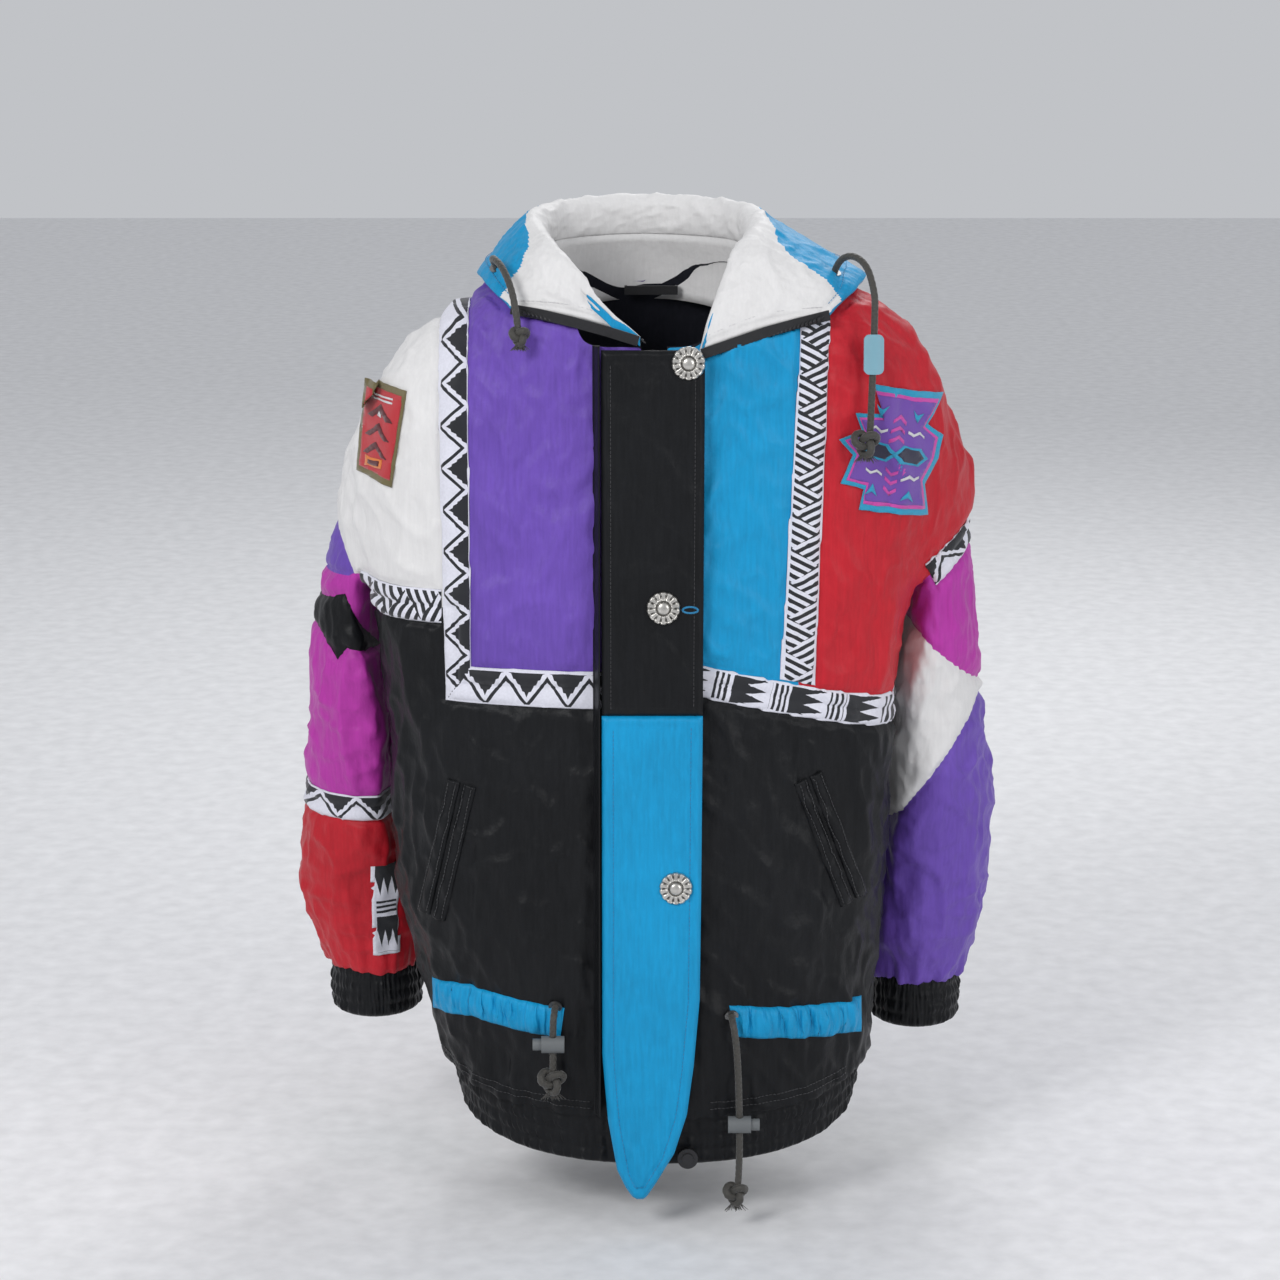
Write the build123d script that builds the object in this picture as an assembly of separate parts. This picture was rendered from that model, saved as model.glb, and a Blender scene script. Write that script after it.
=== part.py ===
"""Padded ski jacket with a raised lining collar, storm flap, zip and swinging sleeves.

Frame: millimetres, +Z up, the front faces -Y, the wearer's right arm is at -X.
The origin is the centre of the neck opening at shoulder height.
"""
from build123d import *

import math
import os

os.makedirs("parts", exist_ok=True)

# ---------------------------------------------------------------- driving sizes
ZIP_X = 12.0                # the front closure lies a little to the wearer's left
FRONT_Y = -111.3            # front face at z = 0
FRONT_SLOPE = 0.0746        # the front leans outwards towards the hem
BELLY_Y = -45.0             # depth at which the body is widest
FRONT_POWER, BACK_POWER = 2.3, 2.0      # the front is squarer than the back
SIDE_SEAM_Y = 5.0           # side seams: front panels before it, back panels behind it

SKIN = (0.0, 1.2)           # nylon shell, measured inwards from the outer face
WADDING = (1.5, 8.5)
LINING = (8.8, 9.8)
TRIM = (-1.1, -0.3)         # woven tapes lie on the shell
PATCH = (-2.1, -0.5)
CASING = (-5.0, -0.3)
SLEEVE_CLEARANCE = 1.5      # sleeve to body, measured from the body's outer face

# z, centre x, half width, front y, back y: the hem is last
FRONT_FACE = None           # marks a station whose front lies on the straight closure line
TORSO = [
    (52, 4, 74, -72, 76),
    (36, 10, 108, -88, 82),
    (15, 22, 164, -102, 88),
    (-8, 26, 204, FRONT_FACE, 96),
    (-35, 22, 234, FRONT_FACE, 102),
    (-70, 16, 256, FRONT_FACE, 110),
    (-115, 12, 263, FRONT_FACE, 118),
    (-170, 5, 253, FRONT_FACE, 126),
    (-240, 0, 241, FRONT_FACE, 132),
    (-321, 1, 228, FRONT_FACE, 136),
    (-376, 2, 223, FRONT_FACE, 137),
    (-450, 1, 221, FRONT_FACE, 136),
    (-516, 1, 217, FRONT_FACE, 133),
    (-606, 8, 203, FRONT_FACE, 126),
    (-663, 14, 193, FRONT_FACE, 118),
    (-725, 16, 182, FRONT_FACE, 112),
    (-800, 16, 172, FRONT_FACE, 106),
]
# z, centre x, centre y, half width, half depth, from inside the shoulder to the wrist
SLEEVE_RIGHT = [
    (-72, -150, -5, 40, 44),
    (-115, -200, 6, 57, 64),
    (-195, -218, 24, 58, 74),
    (-250, -231, 34, 59, 78),
    (-384, -243, 46, 60, 80),
    (-450, -248, 54, 60, 78),
    (-511, -254, 58, 60, 74),
    (-560, -255, 58, 58, 68),
    (-596, -250, 54, 50, 58),
    (-640, -246, 50, 40, 45),
]
SLEEVE_LEFT = [
    (-72, 176, -5, 40, 44),
    (-115, 230, 6, 57, 64),
    (-200, 240, 24, 58, 74),
    (-290, 247, 34, 60, 80),
    (-365, 252, 46, 60, 80),
    (-482, 263, 54, 62, 78),
    (-540, 263, 58, 60, 74),
    (-590, 260, 56, 54, 66),
    (-615, 258, 54, 48, 54),
    (-652, 256, 50, 40, 45),
]
SLEEVE_END = {"right": -622, "left": -632}
CUFF_LENGTH = 44.0
SHOULDER = {"right": (-188.0, -95.0), "left": (206.0, -95.0)}   # swing axes, x and z
ARMHOLE_R = 150.0

NECK_CENTRE = (5.0, -20.0)
NECK_RX, NECK_RY = 88.0, 105.0
HEM_Z, HEM_TILT = -704.0, 0.25          # the hem is lower in front
APRON_Z, APRON_TILT = -655.0, 0.28      # lower edge of the shell over the hem band
ZIP_SLOT = 13.0                         # half width of the gap that the zip fills

FLAP = (8.0, 15.0)                      # the storm flap's faces, in front of the body
FLAP_HINGE_X = -33.0
FLAP_SPLIT_Z = -340.0
BUTTONS = [(41.0, -37.0), (20.0, -246.0), (31.0, -491.0)]
CORD_D = 6.0
FAR = 500.0


# ---------------------------------------------------------------- body forms
def front_y(z):
    return FRONT_Y + FRONT_SLOPE * z


def closed_curve(points):
    """Smooth loop through the points. All loops of one count share their knots, so a loft stays light."""
    steps = [i / len(points) for i in range(len(points) + 1)]
    return Wire([Edge.make_spline(points, periodic=True, parameters=steps)])


def ring(z, xc, a, yf, yb, count=24):
    """Closed section of the body, an oval that is squarer in front."""
    points = []
    for i in range(count):
        turn = 2 * math.pi * i / count
        c, s = math.cos(turn), math.sin(turn)
        depth, power = (yb - BELLY_Y, BACK_POWER) if s > 0 else (BELLY_Y - yf, FRONT_POWER)
        points.append(Vector(xc + a * math.copysign(abs(c) ** (2 / power), c),
                             BELLY_Y + depth * math.copysign(abs(s) ** (2 / power), s), z))
    return closed_curve(points)


def between(stations, z, column):
    """Linear reading of one column of the stations at height z."""
    for upper, lower in zip(stations, stations[1:]):
        if lower[0] <= z <= upper[0]:
            share = (z - lower[0]) / (upper[0] - lower[0])
            return lower[column] + share * (upper[column] - lower[column])
    return stations[0][column] if z > stations[0][0] else stations[-1][column]


def torso(inset):
    """The body form, moved inwards by inset along the normal of its side outline."""
    stations = [(z, xc, a, front_y(z) if yf is FRONT_FACE else yf, yb) for z, xc, a, yf, yb in TORSO]
    rings = []
    for i, (z, xc, a, _, _) in enumerate(stations):
        upper, lower = stations[max(i - 1, 0)], stations[min(i + 1, len(stations) - 1)]
        run, rise = upper[2] - lower[2], upper[0] - lower[0]
        length = math.hypot(run, rise)
        out, up = rise / length, -run / length
        if i == len(stations) - 1:
            out, up = 1.0, 0.0
        level = z - inset * up
        rings.append(ring(level, xc, a - inset * out,
                          between(stations, level, 3) + inset, between(stations, level, 4) - inset))
    return Solid.make_loft(rings)


def sleeve(stations, inset):
    rings = []
    for z, xc, yc, rx, ry in stations:
        points = []
        for i in range(16):
            turn = 2 * math.pi * i / 16
            points.append(Vector(xc + (rx - inset) * math.cos(turn), yc + (ry - inset) * math.sin(turn), z))
        rings.append(closed_curve(points))
    return Solid.make_loft(rings)


def prism(outline, y0=-FAR, y1=FAR):
    """Solid over an outline of x, z points, from y0 to y1."""
    wire = Wire.make_polygon([Vector(x, y0, z) for x, z in outline], close=True)
    return Solid.extrude(Face(wire), Vector(0, y1 - y0, 0))


def rectangle(x0, x1, z0, z1):
    return [(x0, z0), (x1, z0), (x1, z1), (x0, z1)]


def above(z_at_origin, tilt):
    """Everything above a plane that drops towards the front."""
    low, high = z_at_origin - tilt * FAR, z_at_origin + tilt * FAR
    wire = Wire.make_polygon([Vector(-FAR, -FAR, low), Vector(-FAR, FAR, high),
                              Vector(-FAR, FAR, FAR), Vector(-FAR, -FAR, FAR)], close=True)
    return Solid.extrude(Face(wire), Vector(2 * FAR, 0, 0))


def armhole(side, radius):
    x, z = SHOULDER[side]
    return Solid.make_cylinder(radius, 2 * FAR, Plane(origin=(x, FAR, z), z_dir=(0, -1, 0)))


def neck_cut():
    """The neck opening, cut down to a plane that is lower in front."""
    cx, cy = NECK_CENTRE
    hole = Solid.extrude(Face(Wire([Edge.make_ellipse(NECK_RX, NECK_RY, Plane((cx, cy, -60)))])),
                         Vector(0, 0, 200))
    return hole & above(0.0, 0.15)


def solids(shape):
    """The solids of a result, without the crumbs that a cut may leave."""
    return [piece for piece in shape.solids() if piece.volume > 1.0] if shape is not None else []


def group(*shapes):
    return Compound(children=[piece for shape in shapes for piece in solids(shape)])


def write(name, *shapes):
    node = group(*shapes)
    node.label = name
    export_step(node, f"parts/{name}.step")
    return node


# ---------------------------------------------------------------- collar form
COLLAR_LINING, COLLAR_PADDING, COLLAR_SHELL = (0.0, 1.0), (1.3, 7.3), (7.6, 8.8)
# Sections from the wearer's right front edge, round the back, to the left front edge.
# Each has its neck point, its free edge, and three crest points between them as
# (distance from the neck point, height).
COLLAR = [
    ((0, -118, -14), (-109, -100, 11), [(28, -6), (56, 1), (84, 7)]),
    ((-38, -104, 18), (-125, -80, 19), [(12, 36), (32, 41), (58, 33)]),
    ((-64, -72, 46), (-137, -50, 27), [(6, 55), (20, 62), (42, 52)]),
    ((-80, -12, 48), (-141, -2, 31), [(2, 67), (14, 77), (29, 68)]),
    ((-62, 44, 50), (-98, 76, 40), [(2, 72), (13, 83), (25, 74)]),
    ((4, 78, 50), (4, 115, 45), [(2, 74), (12, 85), (24, 76)]),
    ((72, 44, 50), (116, 78, 40), [(2, 72), (14, 83), (28, 73)]),
    ((90, -12, 48), (192, -6, 31), [(2, 66), (16, 76), (36, 66)]),
    ((76, -72, 46), (190, -54, 24), [(6, 54), (24, 61), (58, 48)]),
    ((62, -100, 14), (178, -80, 16), [(18, 28), (46, 37), (84, 29)]),
    ((51, -118, -25), (160, -102, 6), [(28, -16), (56, -7), (84, 0)]),
]


def parallel(points, depth):
    """An open line of 2D points, moved to its right by depth, with mitred corners."""
    moved = []
    for i, (u, w) in enumerate(points):
        normals = []
        for a, b in ((i - 1, i), (i, i + 1)):
            if a >= 0 and b < len(points):
                du, dw = points[b][0] - points[a][0], points[b][1] - points[a][1]
                size = math.hypot(du, dw)
                normals.append((dw / size, -du / size))
        nu = sum(n[0] for n in normals) / len(normals)
        nw = sum(n[1] for n in normals) / len(normals)
        square = nu * nu + nw * nw
        moved.append((u + depth * nu / square, w + depth * nw / square))
    return moved


def collar_section(station, near, far):
    neck, edge, crest = station
    run = math.hypot(edge[0] - neck[0], edge[1] - neck[1])
    ux, uy = (edge[0] - neck[0]) / run, (edge[1] - neck[1]) / run
    line = [(0, neck[2]), *crest, (run, edge[2])]
    outline = parallel(line, near) + parallel(line, far)[::-1]
    return Wire.make_polygon([Vector(neck[0] + ux * u, neck[1] + uy * u, w) for u, w in outline], close=True)


def collar_layer(near, far):
    return Solid.make_loft([collar_section(station, near, far) for station in COLLAR], ruled=True)


def collar_end(station, towards, thickness):
    """Zip tape along a front edge of the collar."""
    neck, edge, _ = station
    across = Vector(edge[1] - neck[1], neck[0] - edge[0], 0).normalized() * towards
    face = Face(collar_section(station, 0.0, 8.8)).translate(across * 0.4)
    return Solid.extrude(face, across * thickness)


def collar_room(shape):
    """A layer of the body, cut clear of the collar and of the zip tapes on its ends."""
    whole = collar_layer(-0.5, 9.3)
    ends = [Solid.extrude(Face(collar_section(station, -0.5, 9.3)),
                          Vector(station[1][1] - station[0][1], station[0][0] - station[1][0], 0).normalized() * reach)
            for station, reach in ((COLLAR[0], -3.0), (COLLAR[-1], 3.0))]
    return shape - whole - ends[0] - ends[1]


# ---------------------------------------------------------------- cord routes
# Each route is the cord's control points, from where it leaves the jacket to its knot.
CORDS = {
    "collar_cord_right": [(-123.5, -54, 36), (-127, -60, 44), (-125, -76, 47), (-117, -94, 42),
                          (-109, -109, 26), (-105, -117, 8), (-103, -120, -9)],
    "collar_cord_left": [(167, -57.6, 32), (170, -62, 43), (181, -73, 50), (193, -88, 43),
                         (198.5, -100, 24), (200, -105, 8), (196, -118, -98)],
    "waist_cord_right": [(-74, -156.5, -598), (-75, -165, -602), (-76, -169.5, -611), (-76, -170.5, -655)],
    "waist_cord_left": [(80, -157.5, -606), (81, -166, -610), (83, -170.5, -619), (86, -172, -650),
                        (88, -172.5, -735), (86, -172.5, -760)],
}
EYELET_R, EYELET_H = 6.0, 1.2


def eyelet_plane(name):
    start, following = [Vector(*p) for p in CORDS[name][:2]]
    return Plane(origin=start, z_dir=following - start)


def eyelet_room(shape, *names):
    """A layer with a hole for the eyelet of each cord."""
    for name in names:
        shape = shape - eyelet_plane(name) * Cylinder(EYELET_R + 0.4, 20)
    return shape


# ---------------------------------------------------------------- layers of body and shoulders
NECK = neck_cut()
KEEP_SHELL = above(APRON_Z, APRON_TILT) - NECK
SLOT = prism(rectangle(ZIP_X - ZIP_SLOT, ZIP_X + ZIP_SLOT, -FAR - 400, FAR), -FAR, BELLY_Y)
STATIONS = {"right": SLEEVE_RIGHT, "left": SLEEVE_LEFT}


def body_layer(outer, inner):
    """One layer of the body, open at neck, hem, front and armholes, with the two shoulder caps."""
    around = torso(outer)
    wall = (around - torso(inner)) & KEEP_SHELL
    wall = wall - SLOT
    caps = []
    for side, stations in STATIONS.items():
        bore = sleeve(stations, inner)
        wall = wall - (bore & armhole(side, ARMHOLE_R))
        cap = ((sleeve(stations, outer) - bore) & armhole(side, ARMHOLE_R)) - around
        caps.append(cap - NECK)
    return collar_room(wall), [collar_room(cap) for cap in caps]


def on_body(offsets, outline, behind=SIDE_SEAM_Y):
    """A strip that lies on the front of the body, over an outline of x, z points, as far back as y = behind."""
    cut = prism(outline, -FAR, behind)
    outer, inner = offsets
    return (torso(outer) & cut) - torso(inner)


def front_plane(height=0.0):
    """Plane of the straight closure line: X across, Y up along the line, Z out to the front."""
    lean = math.hypot(1.0, FRONT_SLOPE)
    out = Vector(0, -1 / lean, FRONT_SLOPE / lean)
    return Plane(origin=Vector(0, FRONT_Y, 0) + out * height, x_dir=(1, 0, 0), z_dir=out)


def front_slab(outline, low, high):
    """Slab over x, z points, between two heights in front of the closure line."""
    plane = front_plane(low)
    wire = Wire.make_polygon([plane.from_local_coords(Vector(x, z, 0)) for x, z in outline], close=True)
    return Solid.extrude(Face(wire), plane.z_dir * (high - low))


def front_point(x, z, height):
    return front_plane(height).from_local_coords(Vector(x, z, 0))


BOTTOM = -900.0
print("shell")
shell, shell_caps = body_layer(*SKIN)
wadding, wadding_caps = body_layer(*WADDING)
lining, lining_caps = body_layer(*LINING)

# ---------------------------------------------------------------- pockets: slot, welts and bag
POCKETS = {"right": [(-155, -405), (-184, -530)], "left": [(146, -400), (189, -517)]}
SLOT_HALF = 7.0
WELT = 12.0
BAG = {"right": rectangle(-186, -96, -575, -395), "left": rectangle(96, 188, -570, -390)}


def band(line, left, right):
    """Outline of a straight band between two distances beside a line of two x, z points."""
    (x0, z0), (x1, z1) = line
    length = math.hypot(x1 - x0, z1 - z0)
    nx, nz = -(z1 - z0) / length, (x1 - x0) / length
    return [(x0 + nx * left, z0 + nz * left), (x1 + nx * left, z1 + nz * left),
            (x1 + nx * right, z1 + nz * right), (x0 + nx * right, z0 + nz * right)]


def shrunk(outline, margin):
    """A rectangle's outline, moved inwards."""
    xs, zs = [x for x, _ in outline], [z for _, z in outline]
    return rectangle(min(xs) + margin, max(xs) - margin, min(zs) + margin, max(zs) - margin)


bag_outer = torso(10.1) - torso(26.0)
bag_inner = torso(11.1) - torso(25.0)
pocket_bags, pocket_welts = [], []
for side, line in POCKETS.items():
    slot = prism(band(line, -SLOT_HALF, SLOT_HALF), -FAR, -40)
    mouth = slot - torso(18.0)
    bag = (bag_outer & prism(BAG[side], -FAR, -20)) - (bag_inner & prism(shrunk(BAG[side], 1.2), -FAR, -20))
    pocket_bags.append(bag - mouth)
    shell, wadding, lining = shell - slot, wadding - slot, lining - slot
    for near, far in ((SLOT_HALF, SLOT_HALF + WELT), (-SLOT_HALF - WELT, -SLOT_HALF)):
        pocket_welts.append(on_body((-3.5, -0.3), band(line, near, far)))
write("pocket_bags", *pocket_bags)
write("pocket_welts", *pocket_welts)

# ---------------------------------------------------------------- shell panels
print("panels")
CHEST_X, YOKE_Z, CHEST_Z = -159.0, -251.0, -318.0
LEFT_X, LEFT_FOOT_X = 149.0, 137.0


def waist_left(x):
    """Height of the wearer's left waist seam, which drops outwards."""
    return -302.0 - (x - ZIP_X) * 0.236


FRONT_PANELS = {
    "shoulder_panel_right": [(-FAR, FAR), (CHEST_X, FAR), (CHEST_X, YOKE_Z), (-FAR, YOKE_Z)],
    "chest_panel_right": [(CHEST_X, FAR), (ZIP_X, FAR), (ZIP_X, CHEST_Z), (CHEST_X, CHEST_Z)],
    "lower_front_right": [(-FAR, YOKE_Z), (CHEST_X, YOKE_Z), (CHEST_X, CHEST_Z), (ZIP_X, CHEST_Z),
                          (ZIP_X, BOTTOM), (-FAR, BOTTOM)],
    "chest_panel_left": [(ZIP_X, FAR), (LEFT_X, FAR), (LEFT_FOOT_X, waist_left(LEFT_FOOT_X)),
                         (ZIP_X, waist_left(ZIP_X))],
    "shoulder_panel_left": [(LEFT_X, FAR), (FAR, FAR), (FAR, waist_left(FAR)),
                            (LEFT_FOOT_X, waist_left(LEFT_FOOT_X))],
    "lower_front_left": [(ZIP_X, waist_left(ZIP_X)), (FAR, waist_left(FAR)), (FAR, BOTTOM), (ZIP_X, BOTTOM)],
}
BACK_PANELS = {
    "back_yoke": rectangle(-FAR, FAR, YOKE_Z, FAR),
    "back_panel": rectangle(-FAR, FAR, BOTTOM, YOKE_Z),
}
for name, outline in FRONT_PANELS.items():
    cut = prism(outline, -FAR, SIDE_SEAM_Y)
    write(name, shell & cut, *[cap & cut for cap in shell_caps])
for name, outline in BACK_PANELS.items():
    cut = prism(outline, SIDE_SEAM_Y, FAR)
    write(name, shell & cut, *[cap & cut for cap in shell_caps])
# The wadding is laid in pieces with a narrow gap between them.
WADDING_GAP = 0.6
COLUMNS = [-110.0, 130.0]
ROWS = [-400.0]


def in_pieces(shape, cuts):
    """The pieces of a layer between thin cuts."""
    for cut in cuts:
        shape = shape - cut
    return Compound(children=[piece for piece in shape.solids() if piece.volume > 40.0])


body_cuts = [Pos(x, 0, -400) * Box(WADDING_GAP, 2 * FAR, 2 * FAR) for x in COLUMNS]
body_cuts += [Pos(0, 0, z) * Box(4 * FAR, 2 * FAR, WADDING_GAP) for z in ROWS]
everything = rectangle(-FAR, FAR, BOTTOM, FAR)
for name, half in (("wadding_front", prism(everything, -FAR, SIDE_SEAM_Y)),
                   ("wadding_back", prism(everything, SIDE_SEAM_Y + WADDING_GAP, FAR))):
    write(name, *[in_pieces(part & half, body_cuts) for part in (wadding, *wadding_caps)])
write("body_lining", lining, *lining_caps)

# ---------------------------------------------------------------- tapes, patches and casings
print("trim")
TAPE_HALF = 14.0
write("tape_chest_right", collar_room(on_body(TRIM, [(-174, 8), (-148, 14), (-146, -302), (-2, -304), (-2, -337),
                                                     (-170, -333)])))
write("tape_waist_right", on_body(TRIM, rectangle(-FAR, -172.5, -266, -236)))
write("tape_chest_left", collar_room(on_body(TRIM, [(138, 6), (163, 2), (152, -319), (122, -312)])))
write("tape_waist_left", on_body(TRIM, [(26, waist_left(26) + TAPE_HALF), (FAR, waist_left(FAR) + TAPE_HALF),
                                        (FAR, waist_left(FAR) - TAPE_HALF),
                                        (26, waist_left(26) - TAPE_HALF)]) - prism(rectangle(120, 154, -321, 0)))
write("patch_right", on_body(PATCH, [(-239, -60), (-200, -66), (-214, -150), (-246, -140)], BELLY_Y))
write("patch_left", on_body(PATCH, [(200, -58), (262, -72), (248, -96), (262, -108), (258, -128), (246, -150),
                                    (250, -178), (188, -166), (192, -148), (172, -142), (182, -118),
                                    (170, -104), (190, -98), (184, -82), (208, -84)], BELLY_Y))
CASING_OUTLINES = {
    "waist_cord_right": [(-FAR, -594), (-150, -590), (-66, -600), (-70, -628), (-150, -620), (-FAR, -626)],
    "waist_cord_left": [(78, -598), (160, -606), (FAR, -650), (FAR, -678), (160, -636), (84, -627)],
}
write("waist_casings", *[eyelet_room(on_body(CASING, outline), cord) for cord, outline in CASING_OUTLINES.items()])

# ---------------------------------------------------------------- elastic hem band
under_apron = prism(rectangle(-FAR, FAR, BOTTOM, FAR)) - above(APRON_Z - 0.3, APRON_TILT)
hem_zone = under_apron & above(HEM_Z, HEM_TILT)
write("hem_band", ((torso(3.0) - torso(11.0)) & hem_zone) - SLOT)

# ---------------------------------------------------------------- sleeves
print("sleeves")
SLEEVE_CUTS = {
    "right": {"upper": rectangle(-FAR, 0, -236, FAR), "middle": rectangle(-FAR, 0, -457, -236),
              "lower": rectangle(-FAR, 0, BOTTOM, -457)},
    "left": {"upper": [(150, -211), (318, -353), (FAR, -353), (FAR, FAR), (150, FAR)],
             "middle": [(150, -211), (318, -353), (150, -571)],
             "lower": [(150, -571), (318, -353), (FAR, -353), (FAR, BOTTOM), (150, BOTTOM)]},
}
SLEEVE_TRIM = (-0.9, -0.2)
SLEEVE_TAPE = {"right": (-470, -446)}
INSET = [(-306, -285), (-264, -258), (-232, -312)]


def sleeve_layer(side, outer, inner):
    """One layer of a sleeve, flattened where it lies against the body."""
    stations = STATIONS[side]
    outside = sleeve(stations, outer) - torso(-(SLEEVE_CLEARANCE + outer))
    inside = sleeve(stations, inner) - torso(-(SLEEVE_CLEARANCE + inner))
    kept = prism(rectangle(-FAR, FAR, SLEEVE_END[side], FAR)) - armhole(side, ARMHOLE_R + 1)
    return (outside - inside) & kept


def cuff(side):
    """Elastic cuff, drawn in to the wrist."""
    x, y = STATIONS[side][-1][1:3]
    top = SLEEVE_END[side] - 0.3
    layers = []
    for inset in (0.0, 5.0):
        levels = [(top, 42, 47), (top - CUFF_LENGTH / 2, 44, 49), (top - CUFF_LENGTH, 40, 45)]
        if inset:
            levels = [(top + 5, 43, 48)] + levels[1:2] + [(top - CUFF_LENGTH - 5, 40, 45)]
        layers.append(Solid.make_loft([
            Wire([Edge.make_ellipse(rx - inset, ry - inset, Plane((x, y, z)))]) for z, rx, ry in levels]))
    return layers[0] - layers[1]


def sleeve_cuts(side):
    """Two cuts along the arm, which part the wadding into four strips."""
    upper, lower = STATIONS[side][3], STATIONS[side][-3]
    middle = Vector(upper[1], upper[2], upper[0])
    along = Vector(lower[1], lower[2], lower[0]) - middle
    cuts = []
    for turn in (0, 90):
        across = Vector(math.cos(math.radians(turn)), math.sin(math.radians(turn)), 0)
        cuts.append(Plane(origin=middle, z_dir=along.cross(across)) * Box(2 * FAR, 2 * FAR, WADDING_GAP))
    return cuts


for side, cuts in SLEEVE_CUTS.items():
    skin = sleeve_layer(side, *SKIN)
    for part, outline in cuts.items():
        write(f"sleeve_{side}_{part}", skin & prism(outline))
    write(f"sleeve_{side}_wadding", in_pieces(sleeve_layer(side, *WADDING), sleeve_cuts(side)))
    write(f"sleeve_{side}_lining", sleeve_layer(side, *LINING))
    write(f"cuff_{side}", cuff(side))
over_sleeve = sleeve(SLEEVE_RIGHT, SLEEVE_TRIM[0]) - sleeve(SLEEVE_RIGHT, SLEEVE_TRIM[1])
clear_of_body = torso(-2.5)
low, high = SLEEVE_TAPE["right"]
write("sleeve_right_tape", (over_sleeve & prism(rectangle(-FAR, 0, low, high))) - clear_of_body)
write("sleeve_right_inset", (over_sleeve & prism(INSET, -FAR, 30)) - clear_of_body)

# ---------------------------------------------------------------- collar pieces
print("collar")
for name, layer in (("collar_lining", COLLAR_LINING), ("collar_padding", COLLAR_PADDING),
                    ("collar_shell", COLLAR_SHELL)):
    write(name, eyelet_room(collar_layer(*layer), "collar_cord_right", "collar_cord_left"))

# ---------------------------------------------------------------- zip
print("zip")
ZIP_TOP, ZIP_END = -30.0, -728.0
TOOTH_GAP, TOOTH_TIP, TOOTH_ROOT = 1.7, 3.6, 5.4
TOOTH_PITCH, TOOTH_HALF = 4.0, 1.5
TAPE_EDGE = 12.7


def tooth_comb(side):
    """One row of moulded teeth on its cord: x runs away from the zip's centre."""
    outline = [(TOOTH_ROOT, ZIP_TOP)]
    count = int((ZIP_TOP - ZIP_END) / TOOTH_PITCH)
    shift = 0.0 if side > 0 else TOOTH_PITCH / 2
    for i in range(count - 1):
        top = ZIP_TOP - 1.0 - shift - i * TOOTH_PITCH
        outline += [(TOOTH_TIP, top), (TOOTH_GAP, top), (TOOTH_GAP, top - TOOTH_PITCH / 2),
                    (TOOTH_TIP, top - TOOTH_PITCH / 2)]
    outline += [(TOOTH_TIP, ZIP_END), (TOOTH_ROOT, ZIP_END)]
    outline.insert(1, (TOOTH_TIP, ZIP_TOP))
    return front_slab([(ZIP_X + side * x, z) for x, z in outline], -TOOTH_HALF, TOOTH_HALF)


write("zip_teeth", tooth_comb(-1), tooth_comb(1))
write("zip_tapes",
      *[front_slab([(ZIP_X + s * TOOTH_ROOT, ZIP_TOP), (ZIP_X + s * TAPE_EDGE, ZIP_TOP),
                    (ZIP_X + s * TAPE_EDGE, ZIP_END), (ZIP_X + s * TOOTH_ROOT, ZIP_END)], -1.2, -0.2)
        for s in (-1, 1)],
      collar_end(COLLAR[0], -1, 1.5), collar_end(COLLAR[-1], 1, 1.5))
write("under_placket", front_slab(rectangle(ZIP_X - 25, ZIP_X + 25, -722, -40), -15.0, -13.6))

SLIDER_Z, SLIDER_HALF = -42.0, 8.0
SLIDER_WIDTH = 7.0
PLATE = (2.2, 3.6)


def slider_box(x_half, z0, z1, low, high):
    return front_slab(rectangle(ZIP_X - x_half, ZIP_X + x_half, z0, z1), low, high)


slider = slider_box(SLIDER_WIDTH, SLIDER_Z - SLIDER_HALF, SLIDER_Z + SLIDER_HALF, *PLATE)
slider += slider_box(SLIDER_WIDTH, SLIDER_Z - SLIDER_HALF, SLIDER_Z + SLIDER_HALF, -PLATE[1], -PLATE[0])
slider += slider_box(1.1, SLIDER_Z, SLIDER_Z + SLIDER_HALF, -PLATE[0], PLATE[0])
slider += slider_box(1.2, SLIDER_Z - 4, SLIDER_Z + 5, PLATE[1], 6.4)
slider -= slider_box(2.0, SLIDER_Z - 1.8, SLIDER_Z + 2.8, PLATE[1], 5.6)
write("zip_slider", slider)
PULL_PIVOT = (SLIDER_Z + 0.5, 4.6)
pull = slider_box(3.4, SLIDER_Z - 24, SLIDER_Z + 1.2, 4.0, 5.2) - \
    slider_box(1.9, SLIDER_Z - 6, SLIDER_Z - 0.2, 3.0, 6.0)
write("zip_pull", pull)

# ---------------------------------------------------------------- storm flap and buttons
print("flap")
BUTTON_R, BUTTON_H, BOSS_R = 14.5, 4.6, 5.5
SHANK_R, HOLE_HALF, HOLE_R = 2.4, 9.0, 3.0
UPPER = [(FLAP_HINGE_X, FLAP_SPLIT_Z), (FLAP_HINGE_X, -27), (44, -25), (51, -29), (55, -38), (54, FLAP_SPLIT_Z)]
LOWER = [(FLAP_HINGE_X, FLAP_SPLIT_Z), (54, FLAP_SPLIT_Z), (53, -500), (52, -591), (47, -650), (41, -695),
         (30, -730), (14, -757), (0, -772), (-10, -766), (-20, -745), (-28, -700)]


def button_axis(x, z, height):
    return Plane(origin=front_point(x, z, height), z_dir=front_plane().z_dir)


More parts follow.
